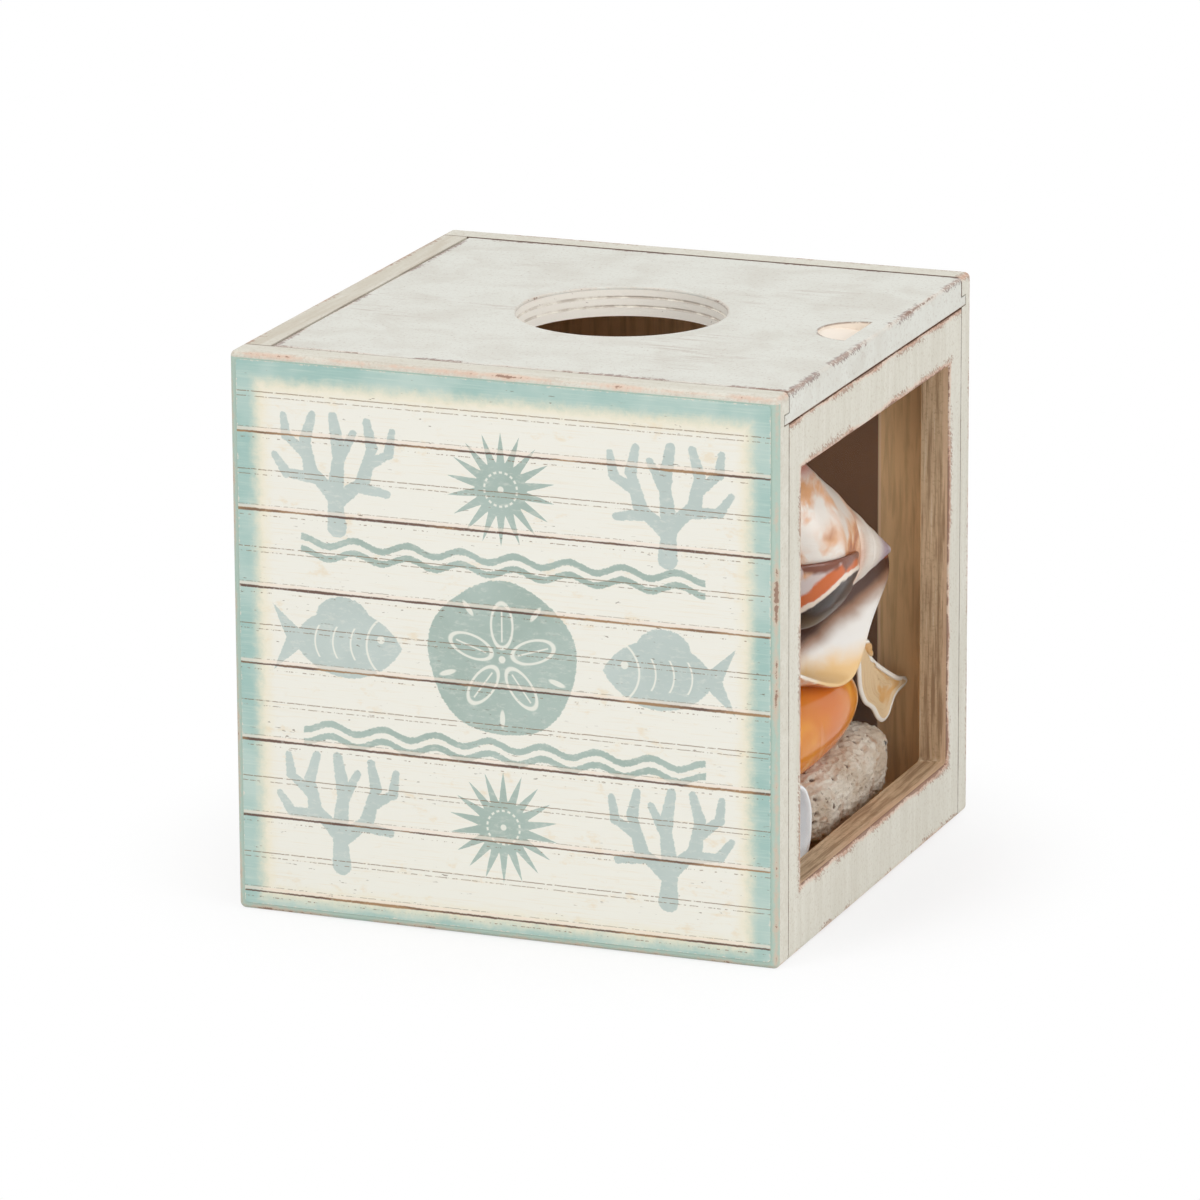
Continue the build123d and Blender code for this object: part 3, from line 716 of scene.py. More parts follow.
# Shells: a ring of the shell's outline is turned and grown about the axis, from the tip to the mouth
def smoothCurve(points, count, closed=False):
    # count points evenly along a smooth curve through the given ones
    curve = bpy.data.curves.new("guide", "CURVE")
    curve.dimensions = "3D"
    curve.resolution_u = 16
    line = curve.splines.new("BEZIER")
    line.bezier_points.add(len(points) - 1)
    line.use_cyclic_u = closed
    for knot, point in zip(line.bezier_points, points):
        knot.co = (*point, 0)[:3]  # a flat point has no third number
        knot.handle_left_type = knot.handle_right_type = "AUTO"
    guide = bpy.data.objects.new("guide", curve)
    drawn = bpy.data.meshes.new_from_object(guide)
    fine = [vert.co.copy() for vert in drawn.vertices]
    if closed:
        fine.append(fine[0])
    bpy.data.objects.remove(guide)
    bpy.data.curves.remove(curve)
    bpy.data.meshes.remove(drawn)
    lengths = [0.0]
    for before, after in zip(fine, fine[1:]):
        lengths.append(lengths[-1] + (after - before).length)
    spaced = []
    for i in range(count):
        wanted = lengths[-1] * i / (count if closed else count - 1)
        span = next((k for k in range(len(fine) - 2) if lengths[k + 1] >= wanted), len(fine) - 2)
        share = (wanted - lengths[span]) / max(lengths[span + 1] - lengths[span], 1e-9)
        spaced.append(fine[span].lerp(fine[span + 1], min(share, 1.0)))
    return spaced


def startRing(shape, count):
    made = bmesh.ops.create_circle(shape, cap_ends=False, segments=count, radius=1.0)["verts"]
    return sorted(made, key=lambda vert: math.atan2(vert.co.y, vert.co.x))


def grow(shape, ring):
    # a new ring extruded from the last one, its corners in the same order
    edges = [shape.edges.get((ring[i - 1], ring[i])) for i in range(len(ring))]
    made = bmesh.ops.extrude_edge_only(shape, edges=edges)["geom"]
    fresh = {part for part in made if isinstance(part, bmesh.types.BMVert)}
    return [next(edge.other_vert(vert) for edge in vert.link_edges if edge.other_vert(vert) in fresh)
            for vert in ring]


def closeRing(shape, ring):
    edges = [shape.edges.get((ring[i - 1], ring[i])) for i in range(len(ring))]
    bmesh.ops.contextual_create(shape, geom=edges)


def shellLayers(shape):
    return [shape.verts.layers.float.new(name) for name in ("growth", "across", "lip")]


def polar(reach, turn, height):
    return Vector((reach * cos(turn), reach * sin(turn), height))


def coil(shape, outline, look):
    # the coiled part, and its last ring, the corners of which follow the outline
    turns, steps = look["turns"], look["steps"]
    layers = shellLayers(shape)
    count = len(outline)
    ring = startRing(shape, count)
    total = int(turns * steps)
    for step in range(total + 1):
        if step:
            ring = grow(shape, ring)
        left = (total - step) / steps
        size = look["growth"] ** -left
        turn = radians(look["lastTurn"]) - left * 2 * pi
        for i, (vert, (reach, height, _)) in enumerate(zip(ring, outline)):
            vert.co = polar(reach * size, turn, height * size)
            vert[layers[0]] = turns - left
            vert[layers[1]] = 1 - abs(2 * i / count - 1)
        if step == 0:
            closeRing(shape, ring)
    return ring, layers


def standing(place, up, facing):
    # sets a shape at a place in millimetres, its Z upwards and its X towards facing
    across = (Vector(facing) - up * up.dot(Vector(facing))).normalized()
    turned = Matrix((across, up.cross(across), up)).transposed().to_4x4()
    return Matrix.Scale(0.001, 4) @ Matrix.Translation(place) @ turned


def shellFrame(tip, end):
    # from a shell's own place, with its tip at 0 and its axis along Z, to the box, in metres
    return standing(tip, (Vector(end) - Vector(tip)).normalized(), (1, 0, 0))


def makePiece(name, shape, place, materials, node, wall=0.0, levels=1):
    bmesh.ops.remove_doubles(shape, verts=shape.verts, dist=0.0005)
    bmesh.ops.recalc_face_normals(shape, faces=shape.faces)
    bmesh.ops.transform(shape, matrix=place, verts=shape.verts)
    for face in shape.faces:
        face.smooth = True
    mesh = bpy.data.meshes.new(name)
    shape.to_mesh(mesh)
    shape.free()
    for material in materials:
        mesh.materials.append(material)
    piece = bpy.data.objects.new(name, mesh)
    bpy.context.collection.objects.link(piece)
    if wall:
        solid = piece.modifiers.new("wall", "SOLIDIFY")
        solid.thickness = wall * 0.001
        solid.offset = -1.0
        if len(materials) > 1:
            solid.material_offset = 1
            solid.material_offset_rim = 1
    if levels:
        rounded = piece.modifiers.new("rounded", "SUBSURF")
        rounded.levels = rounded.render_levels = levels
    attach(piece, "box")
    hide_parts(node)


def metres(point):
    return tuple(c * 0.001 for c in point)


def ownValue(made, name):
    return wires(addNode(made.node_tree, "ShaderNodeAttribute", attribute_name=name))["Fac"]


# Growth lines cross a shell's whorls and bands run along them: both follow its growth
shellGroup, given = newGroup("shellLines", ("Line", "Band"), Growth="Float", Across="Float", Lines="Float",
                             Bands="Float")
lineSpot = joined(given["Growth"] * given["Lines"], given["Across"] * 2.0)
bandSpot = joined(given["Growth"] * 0.6, given["Across"] * given["Bands"])
endGroup(shellGroup, Line=noise(lineSpot, 1.0, 4.0, 0.62), Band=noise(bandSpot, 1.0, 2.0, 0.5))


def shellSkin(name, look):
    made, shader, place = newMaterial(name, look["rough"], IOR=1.5,
                                      Coat_Weight=look["coat"], Coat_Roughness=0.18)
    lines = useGroup(shellGroup, Growth=ownValue(made, "growth"), Across=ownValue(made, "across"),
                     Lines=look["lines"], Bands=look["bands"])
    cloud = noise(place, 90.0, 3.0, 0.6, 0.5)
    band = fade(scaled(cloud, 0.4, lines["Band"] - 0.2), 0.46, 0.6)
    colour = mixColour(band * look.get("bandShare", 0.8), look["base"], look["band"])
    colour = mixColour(fade(lines["Line"], 0.48, 0.72, 0.0, 0.5), colour, look["line"])
    if "rimColour" in look:
        ragged = scaled(cloud, 0.3, ownValue(made, "growth") - 0.15)
        colour = mixColour(fade(ragged, *look["rimGrowth"]), colour, look["rimColour"])
    finishMaterial(shader, colour, lines["Line"], depth=0.0004, strength=look["relief"])
    return made


def shellInside(name, deep, pale, turns):
    # the inner face: deep colour far in, pale at the mouth
    made, shader, place = newMaterial(name, 0.25, IOR=1.5, Coat_Weight=0.3, Coat_Roughness=0.1)
    cloud = noise(place, 110.0, 3.0, 0.6)
    depth = ownValue(made, "growth") + scaled(cloud, 0.1, -0.05)
    colour = mixColour(fade(depth, turns - 0.3, turns - 0.03), deep, pale)
    finishMaterial(shader, colour, cloud, depth=0.0002, strength=0.2)
    return made


# Winged conch: its tip is the lilac knob at the window's right, its long mouth faces the pane
conchLook = {
    "tip": (49.5, 50.0, 64.0),
    "end": (15.2, -38.3, 84.7),
    "growth": 1.7,
    "turns": 6.0,
    "steps": 30,
    "corners": 48,
    "lastTurn": -112,
    "wall": 1.2,
    "outline": ((18.2, 38.5), (22.1, 45.5), (26.4, 54.5), (29.8, 62.0), (30.2, 68.0), (27.4, 75.5),
                (21.2, 83.5), (12.5, 91.0), (6.8, 96.0), (3.4, 97.0), (1.5, 92.0), (2.0, 78.0),
                (3.0, 62.0), (6.0, 48.0), (11.6, 40.5)),
    "wing": ((5.1, 2.0, 12), (13.0, 8.5, 15), (20.4, 14.5, 17), (27.6, 17.5, 14), (32.0, 26.0, 19),
             (33.0, 40.0, 27), (33.0, 54.0, 35), (30.6, 65.0, 36), (24.0, 78.0, 32), (14.8, 89.0, 26),
             (7.4, 96.0, 22), (3.8, 97.0, 20)),
    "callus": ((0, 84.0, 34), (0, 66.0, 66), (0, 54.0, 82), (0, 42.0, 90), (0, 30.0, 94), (0, 19.0, 97),
               (0, 10.0, 97), (0, 3.0, 80)),
    "callusLift": 0.15,
    "flareSteps": 18,
    "cream": (238, 230, 221),
    "orange": (222, 150, 78),
    "rust": (170, 84, 40),
    "red": (200, 84, 46),
    "lilac": (156, 132, 162),
    "lip": (238, 234, 229),
    # dark brown deep in the mouth: partly the shell's own brown, partly painted shade of the narrow throat
    "throatShade": (66, 36, 22),
    # near-black band: the painted shadow of the slit between the lip and the body
    "slit": (40, 18, 8),
    "throatPale": (150, 110, 84),
    "callusOrange": (206, 100, 34),
    "callusPale": (214, 198, 194),
    # pale band along the rolled edge of the fold: a painted highlight
    "rolledHighlight": (240, 222, 206),
    "stain": (122, 66, 44),
    "peach": (240, 194, 122),
    # the mouth's colour bands, painted shade and a painted highlight among them, run along the shell, at
    # these distances out and down from its axis
    "lean": (0.65, 0.03, -0.758),
    "throatShadeEdge": (-12.6, -10.4),
    "lipEdge": (-11.2, -7.0),
    "glaze": ((-23.0, -22.0, "callusPale"), (-20.8, -20.0, "callusOrange"), (-18.0, -17.6, "rolledHighlight"),
              (-17.1, -16.7, "slit")),
    "line": (222, 196, 174),
    "tipPale": (222, 212, 218),
    # in millimetres: from the tip, across the mouth's bands, and above the floor
    "paleReach": (2.0, 5.0),
    "lilacReach": (5.0, 15.0),
    "patchReach": (20.0, 38.0),
    "besideGlaze": (-32.0, -24.0),
    "redHeight": (91.0, 94.5),
    "peachHeight": (44.0, 50.0),
}


def conchSkin(look):
    made, shader, place = newMaterial("conchSkin", 0.34, IOR=1.5, Coat_Weight=0.15, Coat_Roughness=0.2)
    growth, across = ownValue(made, "growth"), ownValue(made, "across")
    lines = useGroup(shellGroup, Growth=growth, Across=across, Lines=46.0, Bands=9.0)
    cloud = noise(place, 60.0, 4.0, 0.6, 0.8)
    fromTip = vecCalc("DISTANCE", place, metres(look["tip"])) * 1000
    farOut = fade(fromTip, *look["patchReach"])
    patch = fade(cloud, 0.5, 0.64, 0.0, 0.85) * farOut
    colour = mixColour(patch, look["cream"], look["orange"])
    colour = mixColour(fade(lines["Line"], 0.5, 0.72, 0.0, 0.2), colour, look["line"])
    # orange and rust beside the glazed band, and a little red at the top
    lean = vecCalc("DOT_PRODUCT", place, look["lean"]) * 1000
    beside = fade(lean, *look["besideGlaze"], 0.0, 0.9) * (farOut * fade(cloud, 0.4, 0.56))
    colour = mixColour(beside, colour, mixColour(fade(cloud, 0.5, 0.62), look["orange"], look["rust"]))
    height = split(place)[2] * 1000
    colour = layered(
        colour,
        (fade(height, *look["redHeight"], 0.0, 0.85), look["red"]),
        (fade(fromTip, *look["lilacReach"], 0.75, 0.0), look["lilac"]),
        (fade(fromTip, *look["paleReach"], 0.85, 0.0), look["tipPale"]),
    )
    finishMaterial(shader, colour, lines["Line"], depth=0.0005, strength=0.35)
    return made


def conchMouth(look):
    made, shader, place = newMaterial("conchMouth", 0.34, IOR=1.45, Coat_Weight=0.08, Coat_Roughness=0.2)
    lip, side = ownValue(made, "lip"), ownValue(made, "across")
    cloud = noise(place, 95.0, 4.0, 0.6, 0.6)
    uneven = lip + scaled(cloud, 0.3, -0.15)
    lean = vecCalc("DOT_PRODUCT", place, look["lean"]) * 1000 + scaled(cloud, 3.0, -1.5)
    # the lip's face is dark brown near the body, fading to white: partly the shell's own brown, partly
    # painted shade in the narrow throat
    outer = mixColour(fade(lean, *look["throatShadeEdge"]), look["throatShade"], look["throatPale"])
    outer = mixColour(fade(lean, *look["lipEdge"]), outer, look["lip"])
    # the wing's lower edge is peach
    height = split(place)[2] * 1000 + scaled(cloud, 6.0, -3.0)
    outer = mixColour(fade(height, *look["peachHeight"], 0.9, 0.0), outer, look["peach"])
    # the glazed band that lies on the body: a pale groove, an orange fold, a pale band along its rolled edge
    # that is a painted highlight, then a near-black band that is the painted shadow of the slit
    inner = mixColour(fade(cloud, 0.44, 0.6), look["callusPale"], look["orange"])
    for low, high, colour in look["glaze"]:
        inner = mixColour(fade(lean, low, high), inner, look[colour])
    inner = mixColour(fade(uneven, 0.92, 0.97), inner, look["stain"])
    onBody = side < -0.5
    finishMaterial(shader, mixColour(onBody, outer, inner), cloud, depth=0.0002, strength=0.2)
    return made


def conch(look):
    shape = bmesh.new()
    count = look["corners"]
    outline = smoothCurve(look["outline"], count, closed=True)
    tip = max(range(count), key=lambda i: outline[i][1])
    ring, layers = coil(shape, outline, look)

    def bodyReach(height, turn):
        # how far the whorl below the mouth reaches, at a height and a turn
        size = look["growth"] ** -((360 - (turn - 90 - look["lastTurn"])) / 360)
        level = height / size
        spans = [(a, b) for a, b in zip(outline, outline[1:]) if min(a[1], b[1]) <= level <= max(a[1], b[1])]
        reaches = [a[0] + (b[0] - a[0]) * (level - a[1]) / (b[1] - a[1]) for a, b in spans if a[1] != b[1]]
        return max(reaches, default=0.0) * size

    # the mouth: the outer lip flares into a wing, the inner lip spreads over the body
    wing = smoothCurve(look["wing"], tip + 1)
    callus = smoothCurve(look["callus"], count - tip)[1:]
    starts = [(math.hypot(vert.co.x, vert.co.y), vert.co.z) for vert in ring]
    for step in range(1, look["flareSteps"] + 1):
        share = step / look["flareSteps"]
        ring = grow(shape, ring)
        for i, (vert, (reach, height), goal) in enumerate(zip(ring, starts, wing + callus)):
            onBody = i > tip
            ahead = share if onBody else 1 - (1 - share) ** 1.5
            spread = share if onBody else share ** 1.7
            turn = look["lastTurn"] + (goal.z - 90 - look["lastTurn"]) * ahead
            level = height + (goal.y - height) * spread
            if onBody:
                under = bodyReach(level, turn + 90) + look["callusLift"]
                out = reach + (under - reach) * min(1.0, share * 2.5)
            else:
                out = reach + (goal.x - reach) * spread
            vert.co = polar(out, radians(turn), level)
            vert[layers[2]] = share
            vert[layers[1]] = -1.0 if onBody else 1 - 0.9 * i / tip
    makePiece("conchShell", shape, shellFrame(look["tip"], look["end"]),
              (conchSkin(look), conchMouth(look)), "conch_shell", wall=look["wall"])


conch(conchLook)
print("coiled the conch")

# The other coiled shells: outline of the last whorl as radius and height from the tip
moonLook = {
    "tip": (6.9, 43.6, 39.4), "end": (3.9, 34.5, 8.9),
    "growth": 2.3, "turns": 5.0, "steps": 40, "corners": 40, "lastTurn": 20, "wall": 1.1,
    "outline": ((7.6, 6.8), (11.5, 6.9), (15.8, 9.0), (18.6, 12.6), (19.4, 17.0), (18.2, 22.6),
                (15.2, 27.6), (11.0, 30.6), (7.2, 31.2), (4.6, 28.8), (2.8, 24.4), (2.2, 19.4),
                (3.0, 14.0), (5.0, 9.6)),
    "base": (214, 196, 172), "band": (152, 122, 98), "line": (126, 98, 78), "lines": 34.0, "bands": 11.0,
    "deep": (96, 66, 50), "pale": (226, 210, 190), "coat": 0.35, "rough": 0.28, "relief": 0.2,
}
augerLook = {
    "tip": (-55.9, -41.2, 15.1), "end": (17.4, -48.4, 15.1),
    "growth": 1.14, "turns": 24.0, "steps": 22, "corners": 18, "lastTurn": 60, "wall": 0.7,
    "outline": ((6.75, 59.6), (7.35, 60.4), (7.75, 62.6), (7.9, 65.5), (7.4, 68.6), (6.0, 71.4),
                (3.6, 73.4), (1.6, 72.6), (1.2, 68.0), (2.6, 63.4), (4.8, 60.6)),
    "base": (232, 216, 190), "band": (170, 116, 74), "line": (150, 104, 72), "lines": 30.0, "bands": 7.0,
    "deep": (120, 84, 60), "pale": (230, 214, 196), "coat": 0.2, "rough": 0.35, "relief": 0.3,
}
coneLook = {
    "tip": (-44.8, 56.0, 21.2), "end": (-36.0, 12.7, 9.8),
    "growth": 1.26, "turns": 8.0, "steps": 34, "corners": 36, "lastTurn": 20, "wall": 0.8,
    "outline": ((9.9, 4.2), (11.4, 4.5), (12.4, 5.4), (12.2, 9.0), (10.4, 16.5), (8.4, 24.0),
                (5.4, 35.6), (2.8, 44.6), (1.6, 44.8), (1.4, 42.6), (3.9, 35.0), (7.0, 23.5),
                (9.6, 12.0), (9.8, 6.6)),
    "base": (236, 224, 202), "band": (150, 90, 54), "line": (176, 118, 78), "lines": 26.0, "bands": 15.0,
    "deep": (130, 96, 74), "pale": (236, 222, 206), "coat": 0.4, "rough": 0.25, "relief": 0.15,
}


def coiledShell(name, node, look):
    shape = bmesh.new()
    outline = smoothCurve(look["outline"], look["corners"], closed=True)
    coil(shape, outline, look)
    inside = shellInside(name + "Inside", look["deep"], look["pale"], look["turns"])
    makePiece(name, shape, shellFrame(look["tip"], look["end"]), (shellSkin(name + "Skin", look), inside),
              node, wall=look["wall"])


coiledShell("moonShell", "moon_shell", moonLook)
coiledShell("augerShell", "auger_shell", augerLook)
coiledShell("coneShell", "cone_shell", coneLook)
print("coiled the moon shell, the auger and the cone")

# Valves: rings grow from the beak to the margin over a dome, with ribs and growth ridges
scallopLook = {
    "centre": (-33.5, -14.6, 20.5), "up": (0, 0, 1), "facing": (1, 0.3, 0), "beak": (0.0, -19.5),
    "depth": 12.4, "rings": 30, "corners": 200, "ribs": 25, "ribHeight": 0.75, "ridge": 0.16, "ridges": 11,
    "wall": 1.2,
    "rim": ((21.5, 0), (20.4, 9.5), (14.5, 17.5), (5.5, 21.6), (-5.5, 21.6), (-14.5, 17.5),
            (-20.4, 9.5), (-21.5, 0), (-18.5, -9.0), (-9.0, -17.0), (-7.6, -21.6), (0, -22.2),
            (7.6, -21.6), (9.0, -17.0), (18.5, -9.0)),
    "base": (224, 178, 156), "band": (178, 104, 84), "line": (238, 214, 196), "lines": 14.0, "bands": 26.0,
    "inner": (238, 226, 220), "rough": 0.45, "coat": 0.05, "relief": 0.3, "bandShare": 0.6,
}
clamLook = {
    "centre": (41.7, -24.2, 18.7), "up": (-1, 0.08, 0.04), "facing": (0, 1, 0), "beak": (0.5, -9.2),
    "depth": 11.5, "rings": 40, "corners": 72, "ribs": 0, "ribHeight": 0.0, "ridge": 0.13, "ridges": 22,
    "wall": 1.3,
    "rim": ((9.8, 0), (9.0, 5.2), (5.8, 9.4), (0, 11.2), (-6.4, 9.6), (-10.6, 5.0),
            (-11.5, -1.0), (-9.2, -7.0), (-3.6, -11.0), (3.0, -11.0), (8.2, -6.4)),
    "base": (240, 242, 246), "band": (214, 222, 232), "line": (190, 194, 202), "lines": 26.0, "bands": 7.0,
    "inner": (240, 243, 247), "rough": 0.28, "coat": 0.3, "relief": 0.25, "bandShare": 0.5,
}


def valve(name, node, look):
    shape = bmesh.new()
    layers = shellLayers(shape)
    count = look["corners"]
    rim = smoothCurve(look["rim"], count, closed=True)
    beak = Vector((*look["beak"], 0))
    angles = [math.atan2(point.y, point.x) for point in rim]
    lengths = [point.length for point in rim]
    ring = startRing(shape, count)
    for step in range(look["rings"] + 1):
        share = 0.02 + 0.98 * step / look["rings"]
        if step:
            ring = grow(shape, ring)
        for i, (vert, edge) in enumerate(zip(ring, rim)):
            rib = cos(2 * pi * look["ribs"] * i / count) * look["ribHeight"] * share if look["ribs"] else 0.0
            spot = beak.lerp(edge * (1 + rib * 0.035), share)
            # how far out the point lies, from 0 at the middle to 1 on the margin
            margin = numpy.interp(math.atan2(spot.y, spot.x), angles, lengths, period=2 * pi)
            outward = min(1.0, spot.length / margin)
            ridge = look["ridge"] * (share * look["ridges"] % 1.0) * min(1, share * 3)
            vert.co = spot + Vector((0, 0, look["depth"] * (math.sqrt(1 - outward ** 2.4) - 1) + rib + ridge))
            vert[layers[0]] = share * 3
            vert[layers[1]] = i / count
        if step == 0:
            closeRing(shape, ring)
    if "swirl" in look:
        inside = shellSkin(name + "Swirl", look["swirl"])
    else:
        inside = shellInside(name + "Inside", look["inner"], look["inner"], 3)
    makePiece(name, shape, standing(look["centre"], Vector(look["up"]).normalized(), look["facing"]),
              (shellSkin(name + "Skin", look), inside), node, wall=look["wall"])


valve("scallopShell", "scallop_shell", scallopLook)
valve("clamShell", "clam_shell", clamLook)
print("grew the scallop and the clam")

# Flap of broken shell: its hollow side faces the pane, with a swirl of growth rings and a white rim
flapLook = {
    "centre": (47.4, 47.6, 33.9), "up": (-0.946, 0.324, 0), "facing": (0, -1, 0), "beak": (1.0, -2.0),
    "depth": 1.6, "rings": 26, "corners": 96, "ribs": 0, "ribHeight": 0.0, "ridge": 0.1, "ridges": 9,
    "wall": 1.2,
    "rim": ((8.6, 11.8), (4.6, 6.6), (-1.4, 2.1), (-4.8, 0.1), (-8.2, -1.5), (-3.9, -4.7),
            (-2.6, -6.9), (-1.4, -8.8), (0, -9.7), (1.3, -9.9), (3.0, -8.9), (5.1, -6.0),
            (8.3, -3.5), (10.6, 4)),
    "base": (226, 206, 178), "band": (206, 160, 108), "line": (196, 150, 110), "lines": 16.0, "bands": 3.0,
    "rough": 0.4, "coat": 0.1, "relief": 0.5, "bandShare": 0.5,
    "swirl": {"base": (228, 200, 158), "band": (222, 164, 86), "line": (186, 132, 84), "lines": 11.0,
              "bands": 2.0, "rough": 0.4, "coat": 0.1, "relief": 0.6, "bandShare": 0.75,
              "rimColour": (240, 234, 224), "rimGrowth": (2.74, 2.88)},
}
valve("creamFlap", "cream_shell", flapLook)

# Orange shell: a glossy cowrie, lying on its toothed slit
cowrieLook = {
    "tip": (26.8, -24.7, 26.8), "end": (44.2, 33.7, 36.1), "radius": 12.4, "full": 0.86, "squash": 0.93,
    "segments": 96, "rings": 72, "slitDepth": 3.2, "slitWidth": 0.34, "teeth": 22, "tooth": 0.4,
    "toothAt": 0.5, "toothWidth": 0.22,
    "orange": (216, 124, 10), "amber": (238, 168, 50), "red": (200, 76, 14), "pale": (244, 206, 140),
}


def cowrieSkin(look):
    made, shader, place = newMaterial("cowrieSkin", 0.2, IOR=1.48, Coat_Weight=0.3, Coat_Roughness=0.08)
    growth, across = ownValue(made, "growth"), ownValue(made, "across")
    lines = useGroup(shellGroup, Growth=growth, Across=across, Lines=9.0, Bands=5.0)
    cloud = noise(place, 60.0, 4.0, 0.55, 0.8)
    colour = mixColour(fade(cloud, 0.4, 0.66), look["orange"], look["amber"])
    blush = fade(growth, 0.45, 0.66) * fade(cloud, 0.34, 0.56)
    blush = blush * fade(growth, 0.72, 0.88, 1.0, 0.0)
    colour = layered(
        colour,
        (blush * 0.6, look["red"]),
        (fade(lines["Line"], 0.55, 0.72, 0.0, 0.25), look["pale"]),
        (fade(across, 0.46, 0.5, 0.0, 0.6), look["pale"]),
    )
    finishMaterial(shader, colour, cloud, depth=0.0002, strength=0.1)
    return made


def cowrie(look):
    shape = bmesh.new()
    layers = shellLayers(shape)
    bmesh.ops.create_uvsphere(shape, u_segments=look["segments"], v_segments=look["rings"], radius=1.0)
    length = (Vector(look["end"]) - Vector(look["tip"])).length
    for vert in shape.verts:
        share = (vert.co.z + 1) / 2
        around = math.atan2(vert.co.x, vert.co.y)  # 0 underneath
        thick = math.sqrt(max(0.0, 1 - abs(2 * share ** look["full"] - 1) ** 2.3)) * look["radius"]
        slit = math.exp(-(around / look["slitWidth"]) ** 2) * min(1, thick / 6)
        besideSlit = math.exp(-((abs(around) - look["toothAt"]) / look["toothWidth"]) ** 2)
        tooth = look["tooth"] * cos(share * look["teeth"] * 2 * pi) * besideSlit
        reach = thick - slit * look["slitDepth"] + tooth * min(1, thick / 6)
        low = look["squash"] if vert.co.y > 0 else 1.0
        vert[layers[0]] = share
        vert[layers[1]] = 0.5 - abs(around) / (2 * pi)
        vert.co = Vector((reach * sin(around), reach * cos(around) * low, share * length))
    makePiece("orangeCowrie", shape, shellFrame(look["tip"], look["end"]), (cowrieSkin(look),),
              "orange_shell", levels=0)


cowrie(cowrieLook)
print("shaped the flap and the cowrie")

# Coral stone: a worn lump with pits
stoneLook = {
    "centre": (38.4, 19.4, 16.7), "half": (14.3, 31.7, 8.9), "square": 3.4, "lump": 0.8, "grit": 0.5,
    "hump": (-26.0, 2.0), "front": 0.5,
    "pitSpacing": 2.4, "pitRadius": 0.56, "pitDepth": 1.5, "detail": 7,
    "beige": (192, 174, 154), "pale": (218, 208, 194), "pit": (92, 62, 44), "rust": (166, 122, 88),
    "gritDark": (128, 104, 86),
    # a dark grey spot, painted as the shade of a deep hole
    "dark": (70, 70, 74), "holeShadeAt": (50.5, 41.0, 20.0), "holeShadeRadius": 1.6,
}


def stoneSkin(look):
    made, shader, place = newMaterial("stoneSkin", 0.85, IOR=1.45)
    hollow = ownValue(made, "growth")
    cloud = noise(place, 95.0, 4.0, 0.6)
    grit = noise(place, 950.0, 3.0, 0.7)
    colour = mixColour(fade(cloud, 0.38, 0.64), look["beige"], look["pale"])
    colour = layered(
        colour,
        (fade(noise(place, 210.0, 3.0, 0.6, 0.6), 0.54, 0.68, 0.0, 0.55), look["rust"]),
        (fade(grit, 0.58, 0.68, 0.0, 0.6), look["gritDark"]),
        (fade(hollow, 0.25, 0.7, 0.0, 0.9), look["pit"]),
    )
    # a dark grey spot with a ragged edge: painted shade of a deep hole in the stone
    spot = vecCalc("DISTANCE", place, metres(look["holeShadeAt"]))
    ragged = spot + scaled(grit, 0.0016, -0.0008)
    near = look["holeShadeRadius"] * 0.001
    colour = mixColour(fade(ragged, near * 0.7, near, 0.95, 0.0), colour, look["dark"])
    finishMaterial(shader, colour, grit, depth=0.0005, strength=0.6)
    return made


def coralStone(look):
    shape = bmesh.new()
    layers = shellLayers(shape)
    bmesh.ops.create_icosphere(shape, subdivisions=look["detail"], radius=1.0)
    half = Vector(look["half"])
    for vert in shape.verts:
        way = vert.co.normalized()
        size = sum(abs(c) ** look["square"] for c in way) ** (-1 / look["square"])
        spot = way * size * half
        if spot.z > 0:
            spot.z *= numpy.interp(spot.y, look["hump"], (look["front"], 1.0))
        lump = scatter.fractal(spot * 0.07, 1.0, 2.0, 3) * look["lump"]
        grit = scatter.fractal(spot * 0.9, 0.8, 2.0, 3) * look["grit"]
        distances, points = scatter.voronoi(spot / look["pitSpacing"])
        wide = look["pitRadius"] * (0.35 + 0.65 * scatter.cell(points[0] * 7.3))
        hollow = max(0.0, 1 - (distances[0] / max(wide, 0.04)) ** 2)
        vert[layers[0]] = hollow
        vert.co = spot + way * (lump + grit - hollow ** 0.7 * look["pitDepth"] * wide / look["pitRadius"])
    makePiece("coralStone", shape, Matrix.Scale(0.001, 4) @ Matrix.Translation(look["centre"]),
              (stoneSkin(look),), "coral_stone", levels=0)


coralStone(stoneLook)
print("weathered the coral stone")

cameraView = {
    "place": (0.61399, -1.56990, 0.52834),
    "azimuth": 21.4268,
    "elevation": 15.5158,
    "roll": -0.2995,
    "lens": 234.69,
    "sensor": 36.0,
}


def placeCamera(look):
    turn, rise, lean = (radians(look[key]) for key in ("azimuth", "elevation", "roll"))
    back = Vector((sin(turn) * cos(rise), -cos(turn) * cos(rise), sin(rise)))
    right = Vector((cos(turn), sin(turn), 0))
    up = back.cross(right)
    across = cos(lean) * right + sin(lean) * up
    upward = cos(lean) * up - sin(lean) * right
    camera = bpy.data.objects.new("camera", bpy.data.cameras.new("camera"))
    bpy.context.collection.objects.link(camera)
    camera.data.sensor_width = look["sensor"]
    camera.data.lens = look["lens"]
    camera.data.clip_end = 20
    turned = Matrix((across, upward, back)).transposed().to_4x4()
    camera.matrix_world = Matrix.Translation(look["place"]) @ turned
    bpy.context.scene.camera = camera


placeCamera(cameraView)

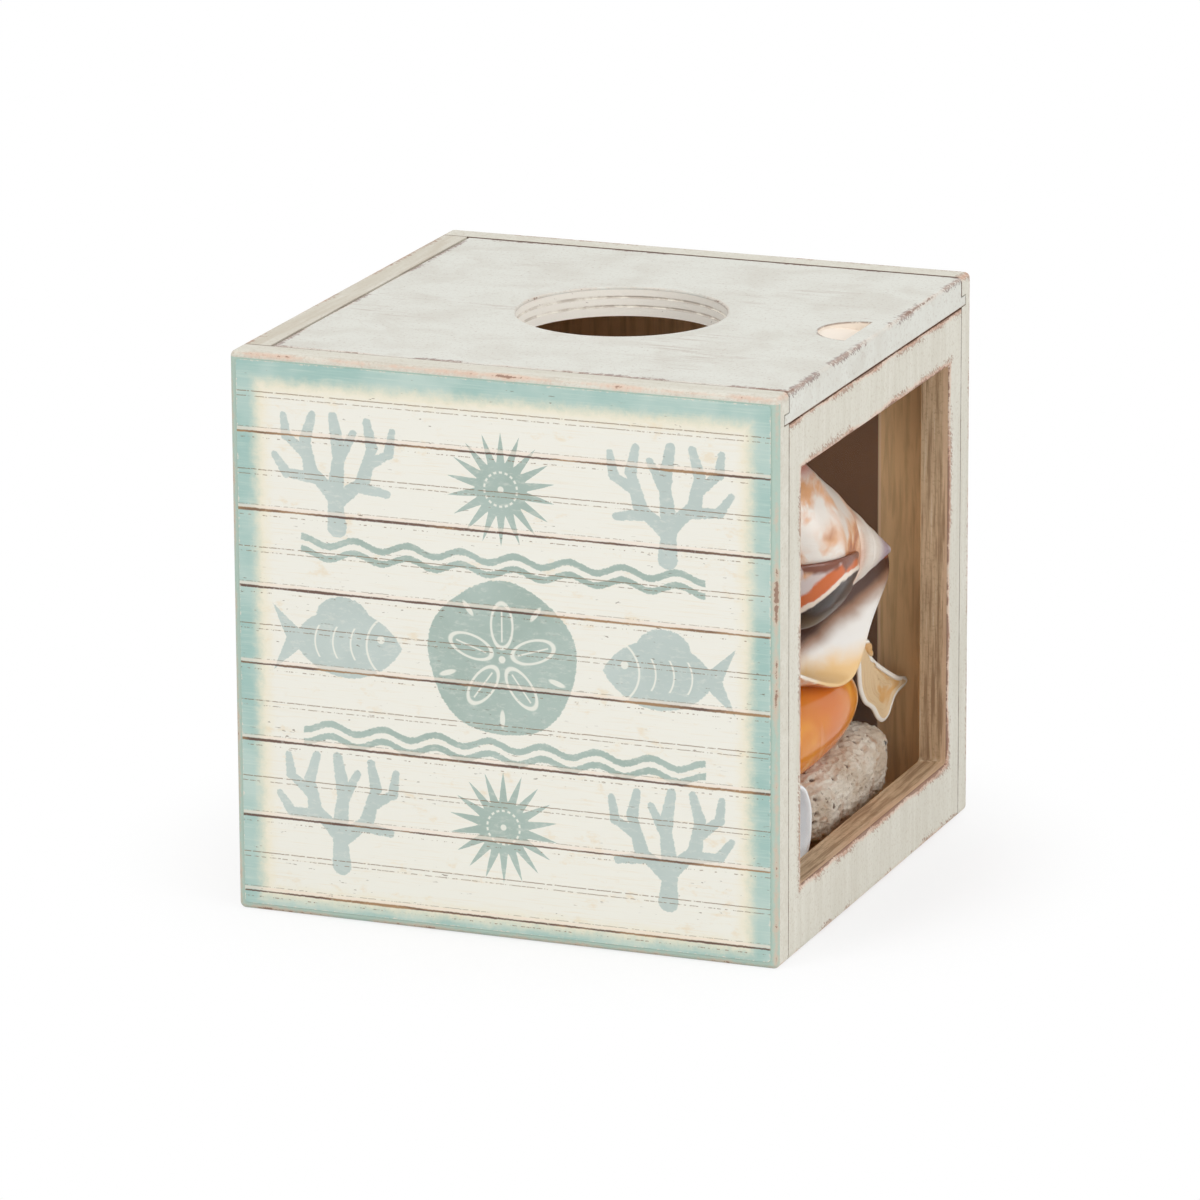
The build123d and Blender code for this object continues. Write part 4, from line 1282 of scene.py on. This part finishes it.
lightLook = {
    "key": {"place": (-0.75, -1.25, 1.35), "size": 0.9, "power": 12.6},
    "fill": {"place": (1.6, -0.55, 0.75), "size": 1.0, "power": 12.0},
    "top": {"place": (0.1, 0.2, 1.6), "size": 1.2, "power": 5.8},
    "sky": 0.52,
}


def areaLamp(name, place, size, power):
    lamp = bpy.data.lights.new(name, "AREA")
    lamp.size = size
    lamp.energy = power
    made = bpy.data.objects.new(name, lamp)
    made.location = place
    made.rotation_euler = (Vector((0, 0, 0.06)) - Vector(place)).to_track_quat("-Z", "Y").to_euler()
    bpy.context.collection.objects.link(made)


for name in ("key", "fill", "top"):
    areaLamp(name, **lightLook[name])


def seenDirectly(tree):
    # 1 for rays from the camera, and for those that mirrors and glass send on
    path = wires(addNode(tree, "ShaderNodeLightPath"))
    return most(path["Is Camera Ray"], most(path["Is Glossy Ray"], path["Is Transmission Ray"]))


def whiteWorld(strength):
    world = bpy.data.worlds.new("studio")
    bpy.context.scene.world = world
    world.use_nodes = True
    background = world.node_tree.nodes["Background"]
    background.inputs["Color"].default_value = (1, 1, 1, 1)
    feed(background.inputs["Strength"], fade(seenDirectly(world.node_tree), 0, 1, strength, 1.0))


whiteWorld(lightLook["sky"])

floorLook = {"half": 6.0, "colour": (0.9, 0.9, 0.9, 1.0), "glow": 0.66, "shadow": 0.06, "clear": 0.12}


def paleFloor(look):
    shape = bmesh.new()
    bmesh.ops.create_grid(shape, x_segments=1, y_segments=1, size=look["half"])
    mesh = bpy.data.meshes.new("floor")
    shape.to_mesh(mesh)
    shape.free()
    floor = bpy.data.objects.new("floor", mesh)
    bpy.context.collection.objects.link(floor)
    made, shader, place = newMaterial("floorWhite", 1.0, Base_Color=look["colour"], Specular_IOR_Level=0.0)
    white = addNode(made.node_tree, "ShaderNodeEmission", {"Color": (1, 1, 1, 1), "Strength": 1.0})
    # plain white away from the box, so that only its own shadow shows
    away = fade(vecCalc("LENGTH", place), look["shadow"], look["clear"], look["glow"], 1.0)
    setSurface(made, seenDirectly(made.node_tree) * away, shader, white)
    mesh.materials.append(made)


paleFloor(floorLook)

bpy.context.scene.view_settings.view_transform = "Standard"
print("set the camera, the lights and the floor")

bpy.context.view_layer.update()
